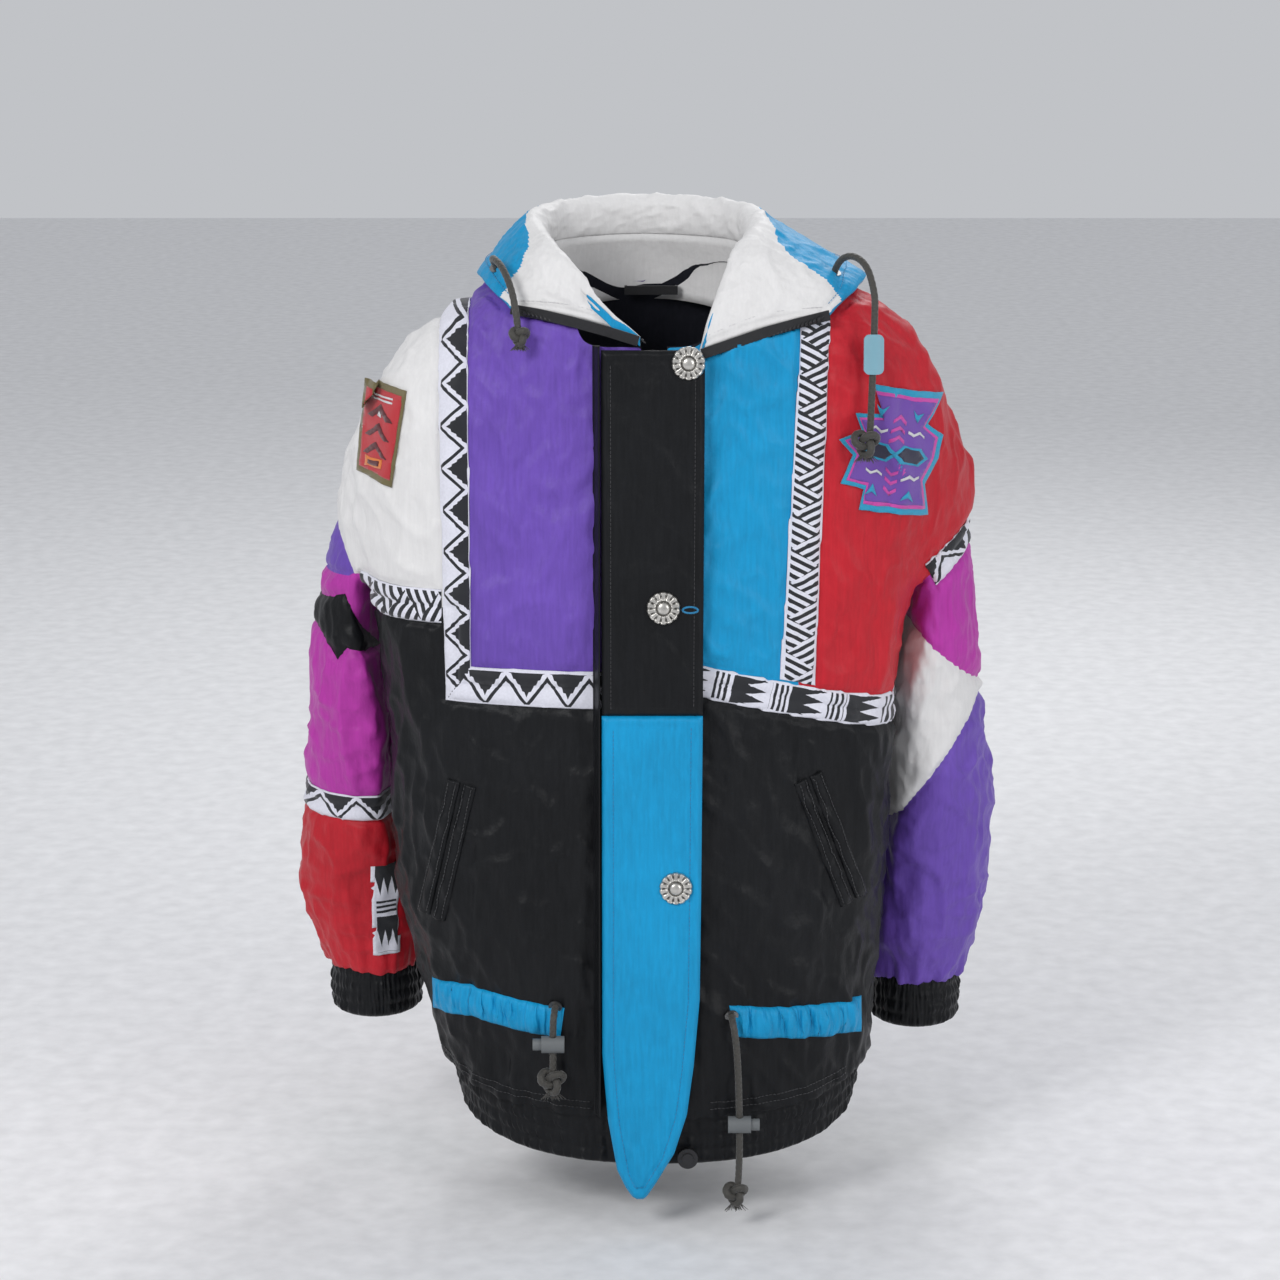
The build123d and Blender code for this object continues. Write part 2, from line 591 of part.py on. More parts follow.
def concho(x, z):
    """Domed button with a boss in its centre, on a shank through the flap."""
    base = button_axis(x, z, FLAP[1])
    dome = Solid.make_cone(BUTTON_R, BUTTON_R - 1.5, 1.6, base)
    dome += Solid.make_cone(BUTTON_R - 1.5, BUTTON_R - 7, BUTTON_H - 1.6, button_axis(x, z, FLAP[1] + 1.6))
    dome += Solid.make_cylinder(BOSS_R, 1.6, button_axis(x, z, FLAP[1] + BUTTON_H - 0.4))
    return dome + Solid.make_cylinder(SHANK_R, FLAP[1] - FLAP[0], button_axis(x, z, FLAP[0]))


def buttonhole(x, z):
    """Slot that the shank passes through: it runs on towards the flap's free edge."""
    slot = front_slab(rectangle(x, x + HOLE_HALF, z - HOLE_R, z + HOLE_R), FLAP[0], FLAP[1])
    for end in (x, x + HOLE_HALF):
        slot += Solid.make_cylinder(HOLE_R, FLAP[1] - FLAP[0], button_axis(end, z, FLAP[0]))
    return slot


upper, lower = front_slab(UPPER, *FLAP), front_slab(LOWER, *FLAP)
holes = [(x - (HOLE_HALF if x > 35 else 0), z) for x, z in BUTTONS]
for (x, z), (hole_x, _) in zip(BUTTONS, holes):
    upper, lower = upper - buttonhole(hole_x, z), lower - buttonhole(hole_x, z)
write("storm_flap_upper", upper)
write("storm_flap_lower", lower)
write("buttons", *[concho(x, z) for x, z in BUTTONS])

# a plain snap on the hem band's end, just clear of the flap's tip
HEM_BUTTON = (42.0, -738.0)
hem_face = button_axis(*HEM_BUTTON, -1.4)
write("hem_button", Solid.make_cylinder(9.0, 3.2, hem_face) + Solid.make_cylinder(
    5.0, 1.6, button_axis(*HEM_BUTTON, 1.8)))

# ---------------------------------------------------------------- hanger loop
LOOP = [(-14, 78.6), (-14, 72), (34, 72), (34, 78.6), (31.5, 78.6), (31.5, 74), (-11.5, 74), (-11.5, 78.6)]
loop_wire = Wire.make_polygon([Vector(x, y, 4) for x, y in LOOP], close=True)
write("hanger_loop", Solid.extrude(Face(loop_wire), Vector(0, 0, -8)))

# ---------------------------------------------------------------- cords, eyelets, knots and locks
print("cords")
KNOTS = {"collar_cord_right": (-102, -121, -15, 10.0), "collar_cord_left": (192, -121.5, -107, 14.0),
         "waist_cord_right": (-77, -171, -664, 14.0), "waist_cord_left": (84, -172.5, -768, 12.5)}


def cord_tube(name, points):
    """Straight runs joined by arcs as large as the runs allow."""
    route = [Vector(*p) for p in points]
    radii = []
    for before, here, after in zip(route, route[1:], route[2:]):
        turn = math.radians((here - before).get_angle(after - here))
        shorter = min((here - before).length, (after - here).length)
        radii.append(0.45 * shorter / math.tan(turn / 2))
    path = FilletPolyline(*route, radius=radii)
    tube = sweep(Plane(route[0], z_dir=route[1] - route[0]) * Circle(CORD_D / 2), path=path)
    length = sum(edge.length for edge in path.edges())
    print(name, "radii", [round(r, 1) for r in radii], "length", round(length, 1),
          "volume ratio", round(tube.volume / (math.pi * CORD_D ** 2 / 4 * length), 4))
    return tube


tubes = {name: cord_tube(name, points) for name, points in CORDS.items()}
knots = []
for name, (x, y, z, size) in KNOTS.items():
    sideways = Plane(origin=(x, y, z), x_dir=(0, 0, -1), z_dir=(1, 0, 0))
    knots.append(Solid.make_sphere(size, sideways) - tubes[name])
    write(name, tubes[name])
write("cord_knots", *knots)


def eyelet(name):
    """Grommet where a cord leaves the jacket."""
    plane = eyelet_plane(name)
    return Solid.make_cylinder(EYELET_R, EYELET_H, plane) - Solid.make_cylinder(CORD_D / 2 + 0.2, EYELET_H, plane)


write("eyelets", *[eyelet(name) for name in CORDS])


def along(name, first, share):
    """Point and direction at a share of one straight run of a cord's route."""
    a, b = Vector(*CORDS[name][first]), Vector(*CORDS[name][first + 1])
    return a + (b - a) * share, (b - a).normalized()


TOGGLE_SIZE = (17.0, 8.4, 34.0)
CORD_HOLE_R = CORD_D / 2 + 0.4
point, direction = along("collar_cord_left", 5, 0.368)
toggle_face = Plane(origin=point, x_dir=(1, 0, 0), z_dir=Vector(1, 0, 0).cross(direction))
toggle = extrude(toggle_face * RectangleRounded(TOGGLE_SIZE[0], TOGGLE_SIZE[2], 5.0), TOGGLE_SIZE[1] / 2, both=True)
toggle -= Plane(origin=point, z_dir=direction) * Cylinder(CORD_HOLE_R, TOGGLE_SIZE[2] + 2)
write("collar_toggle", toggle)

LOCK_R, LOCK_LENGTH = 7.5, 20.0
PLUNGER_R, PLUNGER_LENGTH = 5.2, 9.0


def cord_lock(cord, run, share, towards):
    """Barrel lock across a cord, and the plunger in its end."""
    centre, way = along(cord, run, share)
    barrel_plane = Plane(origin=centre, z_dir=Vector(towards, 0, 0))
    cord_plane = Plane(origin=centre, z_dir=way)
    bore = cord_plane * Cylinder(CORD_HOLE_R, 40)
    socket = Pos(0, 0, LOCK_LENGTH / 2 - 2.5) * Cylinder(PLUNGER_R + 0.4, 5.0 + 0.01)
    barrel = barrel_plane * (Cylinder(LOCK_R, LOCK_LENGTH) - socket) - bore
    plunger = barrel_plane * Pos(0, 0, LOCK_LENGTH / 2 + PLUNGER_LENGTH / 2 - 1.4) * Cylinder(
        PLUNGER_R, PLUNGER_LENGTH)
    return barrel, plunger


for name, cord, run, share, towards in (("waist_lock_right", "waist_cord_right", 2, 0.4, -1),
                                        ("waist_lock_left", "waist_cord_left", 3, 0.61, 1)):
    barrel, plunger = cord_lock(cord, run, share, towards)
    write(name, barrel)
    write(name.replace("lock", "plunger"), plunger)
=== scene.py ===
"""Padded ski jacket: the visual model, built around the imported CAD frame.

Metres, +Z up, the front faces -Y, the wearer's right arm is at -X. The tables of the garment's form
repeat part.py's sizes in millimetres.
"""
import math

import bmesh
import bpy
import numpy as np
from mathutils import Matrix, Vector, noise
from mathutils.bvhtree import BVHTree
from mathutils.kdtree import KDTree


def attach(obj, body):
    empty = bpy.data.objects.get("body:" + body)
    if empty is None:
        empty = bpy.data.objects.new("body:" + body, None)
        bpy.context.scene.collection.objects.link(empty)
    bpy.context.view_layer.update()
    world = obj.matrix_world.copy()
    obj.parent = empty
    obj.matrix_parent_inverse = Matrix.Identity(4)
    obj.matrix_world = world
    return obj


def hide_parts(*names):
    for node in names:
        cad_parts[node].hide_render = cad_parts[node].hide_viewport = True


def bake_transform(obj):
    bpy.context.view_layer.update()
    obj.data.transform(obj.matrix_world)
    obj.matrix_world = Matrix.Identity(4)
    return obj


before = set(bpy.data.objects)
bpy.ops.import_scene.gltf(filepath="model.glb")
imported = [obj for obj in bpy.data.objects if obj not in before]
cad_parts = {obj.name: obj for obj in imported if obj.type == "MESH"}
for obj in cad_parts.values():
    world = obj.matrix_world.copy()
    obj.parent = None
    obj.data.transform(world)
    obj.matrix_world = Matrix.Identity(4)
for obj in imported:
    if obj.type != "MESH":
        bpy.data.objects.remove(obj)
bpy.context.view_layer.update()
MM = 0.001
BODY, RIGHT, LEFT, FLAP = "jacket_body", "right_sleeve", "left_sleeve", "storm_flap"

# ---------------------------------------------------------------- camera and light; the floor comes at the end
scene = bpy.context.scene
AIM = Vector((0.0, 0.0, -0.306))
EYE = Vector((0.0, -3.0, 0.40))
camera = bpy.data.objects.new("camera", bpy.data.cameras.new("camera"))
scene.collection.objects.link(camera)
camera.location = EYE
camera.rotation_euler = (AIM - EYE).to_track_quat("-Z", "Y").to_euler()
camera.data.lens = 96.4
camera.data.sensor_width = 36.0
scene.camera = camera
scene.view_settings.view_transform = "Standard"


def area_light(name, place, size, power, aim=AIM):
    lamp = bpy.data.lights.new(name, "AREA")
    lamp.shape = "DISK"
    lamp.size = size
    lamp.energy = power
    obj = bpy.data.objects.new(name, lamp)
    obj.location = place
    obj.rotation_euler = (Vector(aim) - Vector(place)).to_track_quat("-Z", "Y").to_euler()
    scene.collection.objects.link(obj)


area_light("key", (-1.7, -2.3, 1.5), 1.2, 44.0)
area_light("fill", (2.2, -1.9, 0.7), 1.6, 22.0)
area_light("back", (0.6, 2.3, 1.6), 1.6, 26.0)
world = bpy.data.worlds.new("studio")
world.use_nodes = True
world.node_tree.nodes["Background"].inputs["Color"].default_value = (0.86, 0.88, 0.92, 1.0)
world.node_tree.nodes["Background"].inputs["Strength"].default_value = 0.62
scene.world = world


# ---------------------------------------------------------------- small helpers
def new_object(name, vertices, faces, material=None):
    mesh = bpy.data.meshes.new(name)
    mesh.from_pydata([tuple(v) for v in vertices], [], [tuple(f) for f in faces])
    mesh.validate()
    for polygon in mesh.polygons:
        polygon.use_smooth = True
    obj = bpy.data.objects.new(name, mesh)
    scene.collection.objects.link(obj)
    if material:
        mesh.materials.append(material)
    return obj


def coords(mesh):
    flat = np.zeros(len(mesh.vertices) * 3)
    mesh.vertices.foreach_get("co", flat)
    return flat.reshape(-1, 3)


def set_coords(mesh, points):
    mesh.vertices.foreach_set("co", np.asarray(points, dtype=float).ravel())
    mesh.update()


def normals(mesh):
    flat = np.zeros(len(mesh.vertices) * 3)
    mesh.vertices.foreach_get("normal", flat)
    return flat.reshape(-1, 3)


def read_vectors(mesh, name):
    flat = np.zeros(len(mesh.vertices) * 3)
    mesh.attributes[name].data.foreach_get("vector", flat)
    return flat.reshape(-1, 3)


def write_vectors(mesh, name, values):
    layer = mesh.attributes.get(name) or mesh.attributes.new(name, "FLOAT_VECTOR", "POINT")
    layer.data.foreach_set("vector", np.asarray(values, dtype=float).ravel())


def apply_modifiers(obj):
    """Replace the object's mesh by its evaluated one."""
    bpy.context.view_layer.update()
    evaluated = obj.evaluated_get(bpy.context.evaluated_depsgraph_get())
    mesh = bpy.data.meshes.new_from_object(evaluated)
    obj.modifiers.clear()
    obj.data = mesh


def grid_faces(rows, columns, closed=False, flip=False):
    faces = []
    for r in range(rows - 1):
        for c in range(columns if closed else columns - 1):
            d = (c + 1) % columns
            face = (r * columns + c, r * columns + d, (r + 1) * columns + d, (r + 1) * columns + c)
            faces.append(face[::-1] if flip else face)
    return faces


def noise_at(points, scale, seed=0.0):
    """Smooth noise from -1 to 1 at each point; scale is a number or one per axis."""
    scaled = points * np.asarray(scale, dtype=float) + seed
    return np.array([noise.noise(Vector(p)) for p in scaled])


def ridges(points, scale, seed=0.0):
    """Sharp creases: 1 on a crease line, falling to 0 away from it."""
    return 1.0 - np.minimum(1.0, np.abs(noise_at(points, scale, seed)) * 3.0)


def smooth(knots, values, at):
    """Cubic reading of values given at increasing knots."""
    knots, values, at = np.asarray(knots, float), np.asarray(values, float), np.asarray(at, float)
    slopes = np.gradient(values, knots)
    i = np.clip(np.searchsorted(knots, at) - 1, 0, len(knots) - 2)
    width = knots[i + 1] - knots[i]
    t = np.clip((at - knots[i]) / width, 0.0, 1.0)
    rise = values[i + 1] - values[i]
    return (values[i] + t * width * slopes[i]
            + t ** 2 * (3 * rise - width * (2 * slopes[i] + slopes[i + 1]))
            + t ** 3 * (-2 * rise + width * (slopes[i] + slopes[i + 1])))


# ---------------------------------------------------------------- the garment's form, in millimetres
ZIP_X = 12.0
FRONT_Y, FRONT_SLOPE = -111.3, 0.0746
BELLY_Y = -45.0
FRONT_POWER, BACK_POWER = 2.3, 2.0
SIDE_SEAM_Y = 5.0
FACE = None
TORSO = [(52, 4, 74, -72, 76), (36, 10, 108, -88, 82), (15, 22, 164, -102, 88), (-8, 26, 204, FACE, 96),
         (-35, 22, 234, FACE, 102), (-70, 16, 256, FACE, 110), (-115, 12, 263, FACE, 118),
         (-170, 5, 253, FACE, 126), (-240, 0, 241, FACE, 132), (-321, 1, 228, FACE, 136),
         (-376, 2, 223, FACE, 137), (-450, 1, 221, FACE, 136), (-516, 1, 217, FACE, 133),
         (-606, 8, 203, FACE, 126), (-663, 14, 193, FACE, 118), (-725, 16, 182, FACE, 112),
         (-800, 16, 172, FACE, 106)]
SLEEVES = {
    RIGHT: [(-72, -150, -5, 40, 44), (-115, -200, 6, 57, 64), (-195, -218, 24, 58, 74), (-250, -231, 34, 59, 78),
            (-384, -243, 46, 60, 80), (-450, -248, 54, 60, 78), (-511, -254, 58, 60, 74),
            (-560, -255, 58, 58, 68), (-596, -250, 54, 50, 58), (-640, -246, 50, 40, 45)],
    LEFT: [(-72, 176, -5, 40, 44), (-115, 230, 6, 57, 64), (-200, 240, 24, 58, 74), (-290, 247, 34, 60, 80),
           (-365, 252, 46, 60, 80), (-482, 263, 54, 62, 78), (-540, 263, 58, 60, 74),
           (-590, 260, 56, 54, 66), (-615, 258, 54, 48, 54), (-652, 256, 50, 40, 45)],
}
SLEEVE_END = {RIGHT: -622.0, LEFT: -632.0}
SHOULDER = {RIGHT: (-188.0, -95.0), LEFT: (206.0, -95.0)}
ARMHOLE_R = 150.0
NECK_CENTRE, NECK_R = (5.0, -20.0), (94.0, 112.0)
APRON_Z, APRON_TILT = -655.0, 0.28
HEM_Z, HEM_TILT = -704.0, 0.25
CUFF_LENGTH = 44.0
ARM_GAP = 15.0              # visible gap between sleeve and body
BODY_TOP, BODY_LOW = 52.0, -790.0


def front_y(z):
    return FRONT_Y + FRONT_SLOPE * np.asarray(z, float)


def torso_sizes(z):
    """Centre x, half width, front y and back y at heights z."""
    levels = np.array([row[0] for row in TORSO][::-1], float)
    read = []
    for column in (1, 2, 3, 4):
        values = [front_y(row[0]) if row[column] is FACE else row[column] for row in TORSO][::-1]
        read.append(smooth(levels, values, z))
    return read


def torso_point(turn, z, inset=0.0):
    """Points of the body's outer face, moved inwards by inset."""
    turn, z = np.broadcast_arrays(np.asarray(turn, float), np.asarray(z, float))
    xc, a, yf, yb = torso_sizes(z)
    c, s = np.cos(turn), np.sin(turn)
    power = np.where(s > 0, BACK_POWER, FRONT_POWER)
    depth = np.where(s > 0, yb - BELLY_Y, BELLY_Y - yf) - inset
    x = xc + (a - inset) * np.sign(c) * np.abs(c) ** (2 / power)
    y = BELLY_Y + depth * np.sign(s) * np.abs(s) ** (2 / power)
    return np.stack([x, y, z], axis=-1)


def outside_torso(points):
    """Rough distance of points, in mm, outside the body's outer face."""
    x, y, z = points[:, 0], points[:, 1], points[:, 2]
    xc, a, yf, yb = torso_sizes(z)
    back = y > BELLY_Y
    power = np.where(back, BACK_POWER, FRONT_POWER)
    depth = np.where(back, yb - BELLY_Y, BELLY_Y - yf)
    reach = (np.abs((x - xc) / a) ** power + np.abs((y - BELLY_Y) / depth) ** power) ** (1 / power)
    return (1 - 1 / np.maximum(reach, 1e-6)) * np.hypot(x - xc, y - BELLY_Y)


def front_surface_y(x, z):
    """y of the body's front face at x, z."""
    xc, a, yf, _ = torso_sizes(z)
    across = np.clip(np.abs((np.asarray(x, float) - xc) / a), 0, 0.999)
    return BELLY_Y - (BELLY_Y - yf) * (1 - across ** FRONT_POWER) ** (1 / FRONT_POWER)


def tube(rings):
    """Closed mesh over a stack of rings, each an array of points."""
    rows, columns = len(rings), len(rings[0])
    vertices = np.concatenate(rings)
    faces = grid_faces(rows, columns, closed=True)
    faces.append(tuple(range(columns))[::-1])
    faces.append(tuple((rows - 1) * columns + c for c in range(columns)))
    return vertices, faces


def torso_tube():
    turns = np.linspace(0, 2 * np.pi, 144, endpoint=False)
    return tube([torso_point(turns, z) for z in np.linspace(BODY_TOP, BODY_LOW, 150)])


def sleeve_ring(side, z, inset=0.0, columns=72):
    """One ring of a sleeve, flattened where it hangs against the body."""
    stations = SLEEVES[side][::-1]
    levels = [row[0] for row in stations]
    xc, yc, rx, ry = (float(smooth(levels, [row[k] for row in stations], z)) for k in (1, 2, 3, 4))
    turns = np.linspace(0, 2 * np.pi, columns, endpoint=False)
    ring = np.stack([xc + (rx - inset) * np.cos(turns), yc + (ry - inset) * np.sin(turns),
                     np.full(columns, float(z))], axis=-1)
    sign = -1.0 if side == RIGHT else 1.0
    shoulder_x, shoulder_z = SHOULDER[side]
    gap = ARM_GAP + inset
    far = np.hypot(ring[:, 0] - shoulder_x, z - shoulder_z) > ARMHOLE_R - 12
    if far.any():
        body_x, a, yf, yb = (float(v) for v in torso_sizes(z))
        depth = np.where(ring[:, 1] > BELLY_Y, yb - BELLY_Y, BELLY_Y - yf) + gap
        power = np.where(ring[:, 1] > BELLY_Y, BACK_POWER, FRONT_POWER)
        share = np.clip(1 - np.abs((ring[:, 1] - BELLY_Y) / depth) ** power, 0, 1) ** (1 / power)
        limit = body_x + sign * (a + gap) * share
        inside = far & (share > 0) & (sign * ring[:, 0] < sign * limit)
        ring[inside, 0] = limit[inside]
    return ring


def sleeve_tube(side):
    levels = np.linspace(SLEEVES[side][0][0], SLEEVES[side][-1][0], 110)
    return tube([sleeve_ring(side, z) for z in levels])


def remeshed(name, parts, voxel):
    """One clean quad surface round several overlapping closed meshes."""
    vertices, faces, start = [], [], 0
    for points, polygons in parts:
        vertices.append(points * MM)
        faces += [tuple(i + start for i in polygon) for polygon in polygons]
        start += len(points)
    obj = new_object(name, np.concatenate(vertices), faces)
    modifier = obj.modifiers.new("remesh", "REMESH")
    modifier.mode = "VOXEL"
    modifier.voxel_size = voxel
    modifier.adaptivity = 0.0
    apply_modifiers(obj)
    for _ in range(2):
        relax(obj.data, 0.5)
    return obj


def relax(mesh, share, chosen=None):
    """One step of even smoothing over the mesh's edges, of all vertices or of the chosen ones."""
    points = coords(mesh)
    pairs = np.zeros(len(mesh.edges) * 2, dtype=np.int64)
    mesh.edges.foreach_get("vertices", pairs)
    pairs = pairs.reshape(-1, 2)
    total, count = np.zeros_like(points), np.zeros(len(points))
    for a, b in ((0, 1), (1, 0)):
        np.add.at(total, pairs[:, a], points[pairs[:, b]])
        np.add.at(count, pairs[:, a], 1)
    if chosen is not None:
        share = share * chosen[:, None]
    set_coords(mesh, points + share * (total / np.maximum(count, 1)[:, None] - points))


# ---------------------------------------------------------------- seams and panels, x and z in millimetres
CHEST_X, YOKE_Z, CHEST_Z = -159.0, -251.0, -318.0
LEFT_X, LEFT_FOOT_X = 149.0, 137.0
TAPE_HALF = 14.0
FAR = 500.0
SLOT_HALF = 11.0


def waist_left(x):
    return -302.0 - (x - ZIP_X) * 0.236


def box(x0, x1, z0, z1):
    return [(x0, z0), (x1, z0), (x1, z1), (x0, z1)]


# name, zone, outline, colour, nodes that it stands for. The first outline that holds a face takes it.
PANELS = [
    ("tape_chest_right", "front", [(-174, 14), (-148, 20), (-146, -302), (-2, -304), (-2, -337), (-170, -333)],
     "tape_a", ["tape_chest_right"]),
    ("tape_waist_right", "front", box(-FAR, -172.5, -266, -236), "tape_b", ["tape_waist_right"]),
    ("tape_waist_left", "front", [(26, waist_left(26) + TAPE_HALF), (FAR, waist_left(FAR) + TAPE_HALF),
                                  (FAR, waist_left(FAR) - TAPE_HALF), (26, waist_left(26) - TAPE_HALF)],
     "tape_c", ["tape_waist_left"]),
    ("tape_chest_left", "front", [(138, 12), (163, 8), (152, -319), (122, -312)], "tape_d", ["tape_chest_left"]),
    ("chest_panel_right", "front", box(CHEST_X, ZIP_X, CHEST_Z, FAR), "purple", ["chest_panel_right"]),
    ("shoulder_panel_right", "front", box(-FAR, CHEST_X, YOKE_Z, FAR), "white", ["shoulder_panel_right"]),
    ("chest_panel_left", "front", [(ZIP_X, FAR), (LEFT_X, FAR), (LEFT_FOOT_X, waist_left(LEFT_FOOT_X)),
                                   (ZIP_X, waist_left(ZIP_X))], "turquoise", ["chest_panel_left"]),
    ("shoulder_panel_left", "front", [(LEFT_X, FAR), (FAR, FAR), (FAR, waist_left(FAR)),
                                      (LEFT_FOOT_X, waist_left(LEFT_FOOT_X))], "red", ["shoulder_panel_left"]),
    ("lower_front_right", "front", [(-FAR, -900), (ZIP_X, -900), (ZIP_X, CHEST_Z), (CHEST_X, CHEST_Z),
                                    (CHEST_X, YOKE_Z), (-FAR, YOKE_Z)], "black", ["lower_front_right"]),
    ("lower_front_left", "front", [(ZIP_X, -900), (FAR, -900), (FAR, waist_left(FAR)), (ZIP_X, waist_left(ZIP_X))],
     "black", ["lower_front_left"]),
    ("back_yoke_right", "back", box(-FAR, ZIP_X, YOKE_Z, FAR), "purple", ["back_yoke"]),
    ("back_yoke_left", "back", box(ZIP_X, FAR, YOKE_Z, FAR), "purple", ["back_yoke"]),
    ("back_panel", "back", box(-FAR, FAR, -900, YOKE_Z), "black", ["back_panel"]),
    ("sleeve_right_tape", RIGHT, box(-FAR, 0, -470, -446), "tape_e", ["sleeve_right_tape"]),
    ("sleeve_right_inset", RIGHT + " front", [(-306, -285), (-290, -268), (-264, -258), (-232, -312), (-262, -306),
                                              (-272, -318), (-284, -302)], "black", ["sleeve_right_inset"]),
    ("sleeve_right_stripe", RIGHT + " front", box(-243, -222, -600, -516), "tape_c", ["sleeve_right_lower"]),
    ("sleeve_right_wedge", RIGHT + " front", [(-FAR, -150), (-274, -197), (-254, -240), (-FAR, -262)], "purple",
     ["sleeve_right_upper"]),
    ("sleeve_right_shoulder", RIGHT + " front", box(-FAR, 0, -240, FAR), "white", ["shoulder_panel_right"]),
    ("sleeve_right_upper", RIGHT, box(-FAR, 0, -240, FAR), "purple", ["sleeve_right_upper"]),
    ("sleeve_right_middle", RIGHT, box(-FAR, 0, -457, -240), "magenta", ["sleeve_right_middle"]),
    ("sleeve_right_lower", RIGHT, box(-FAR, 0, -900, -457), "red", ["sleeve_right_lower"]),
    ("sleeve_left_snippet", LEFT + " front", [(252, -228), (300, -190), (310, -206), (262, -248)], "tape_a",
     ["sleeve_left_upper"]),
    ("sleeve_left_shoulder", LEFT + " front", [(0, -245), (250, -245), (310, -190), (310, FAR), (0, FAR)], "red",
     ["shoulder_panel_left"]),
    ("sleeve_left_back", LEFT + " back", box(0, FAR, -240, FAR), "purple", ["back_yoke"]),
    ("sleeve_left_upper", LEFT, [(150, -211), (318, -353), (FAR, -353), (FAR, FAR), (150, FAR)], "magenta",
     ["sleeve_left_upper"]),
    ("sleeve_left_middle", LEFT, [(150, -211), (318, -353), (150, -571)], "white", ["sleeve_left_middle"]),
    ("sleeve_left_lower", LEFT, [(150, -571), (318, -353), (FAR, -353), (FAR, -900), (150, -900)], "purple",
     ["sleeve_left_lower"]),
]
ARM_TOP_Z = -150.0
ARM_SEAM = 0.45            # the seam along the arm runs back by this much for each mm outwards


def seam_y(points):
    """y of the side seam at each point: further back on the shoulders and arms."""
    out = np.maximum(0.0, np.abs(points[:, 0]) - 150.0)
    on_arm = (outside_torso(points) > ARM_GAP / 2) | (points[:, 2] > -240)
    return SIDE_SEAM_Y + np.where(on_arm, ARM_SEAM * out, 0.0)


def inside(points, outline):
    """Which x, z points lie in a polygon."""
    x, z = points[:, 0], points[:, 2]
    found = np.zeros(len(points), bool)
    for (x0, z0), (x1, z1) in zip(outline, outline[1:] + outline[:1]):
        if z0 != z1:
            crosses = ((z0 > z) != (z1 > z)) & (x < (x1 - x0) * (z - z0) / (z1 - z0) + x0)
            found ^= crosses
    return found


def zones(points):
    """Zone masks of points in mm."""
    outer = outside_torso(points) > ARM_GAP / 2
    arm = {RIGHT: outer & (points[:, 2] < ARM_TOP_Z) & (points[:, 0] < 0),
           LEFT: outer & (points[:, 2] < ARM_TOP_Z) & (points[:, 0] > 0)}
    front = points[:, 1] < seam_y(points)
    body = ~arm[RIGHT] & ~arm[LEFT]
    masks = {"front": body & front, "back": body & ~front}
    for side, mask in arm.items():
        masks[side] = mask
        masks[side + " front"] = mask & front
        masks[side + " back"] = mask & ~front
    return masks


def panel_of(points):
    """Index of the panel that each point belongs to."""
    masks = zones(points)
    chosen = np.full(len(points), -1)
    for index, (_, zone, outline, _, _) in enumerate(PANELS):
        mask = (chosen < 0) & masks[zone] & inside(points, outline)
        chosen[mask] = index
    return chosen


def face_centres(bm):
    return np.array([tuple(face.calc_center_median()) for face in bm.faces]) / MM


def bisect(bm, chosen, point, normal, clear=False):
    """Cut the chosen faces by a plane, and drop what lies on its far side if asked."""
    bm.faces.ensure_lookup_table()
    faces = [bm.faces[i] for i in np.nonzero(chosen)[0]]
    edges = list({edge for face in faces for edge in face.edges})
    vertices = list({vertex for face in faces for vertex in face.verts})
    bmesh.ops.bisect_plane(bm, geom=vertices + edges + faces, dist=1e-6, plane_co=Vector(point) * MM,
                           plane_no=Vector(normal), clear_outer=clear)


def even_rim(bm):
    """Smooth the ragged rim of the neck opening along itself."""
    rim = {}
    for edge in bm.edges:
        if edge.is_boundary and min(v.co.z for v in edge.verts) > -0.045:
            first, second = edge.verts
            for a, b in ((first, second), (second, first)):
                if abs(a.co.x / MM - ZIP_X) > SLOT_HALF + 1:
                    rim.setdefault(a, []).append(b)
    for _ in range(14):
        moved = {v: (v.co * 2 + near[0].co + near[1].co) / 4 for v, near in rim.items() if len(near) == 2}
        for vertex, place in moved.items():
            vertex.co = place


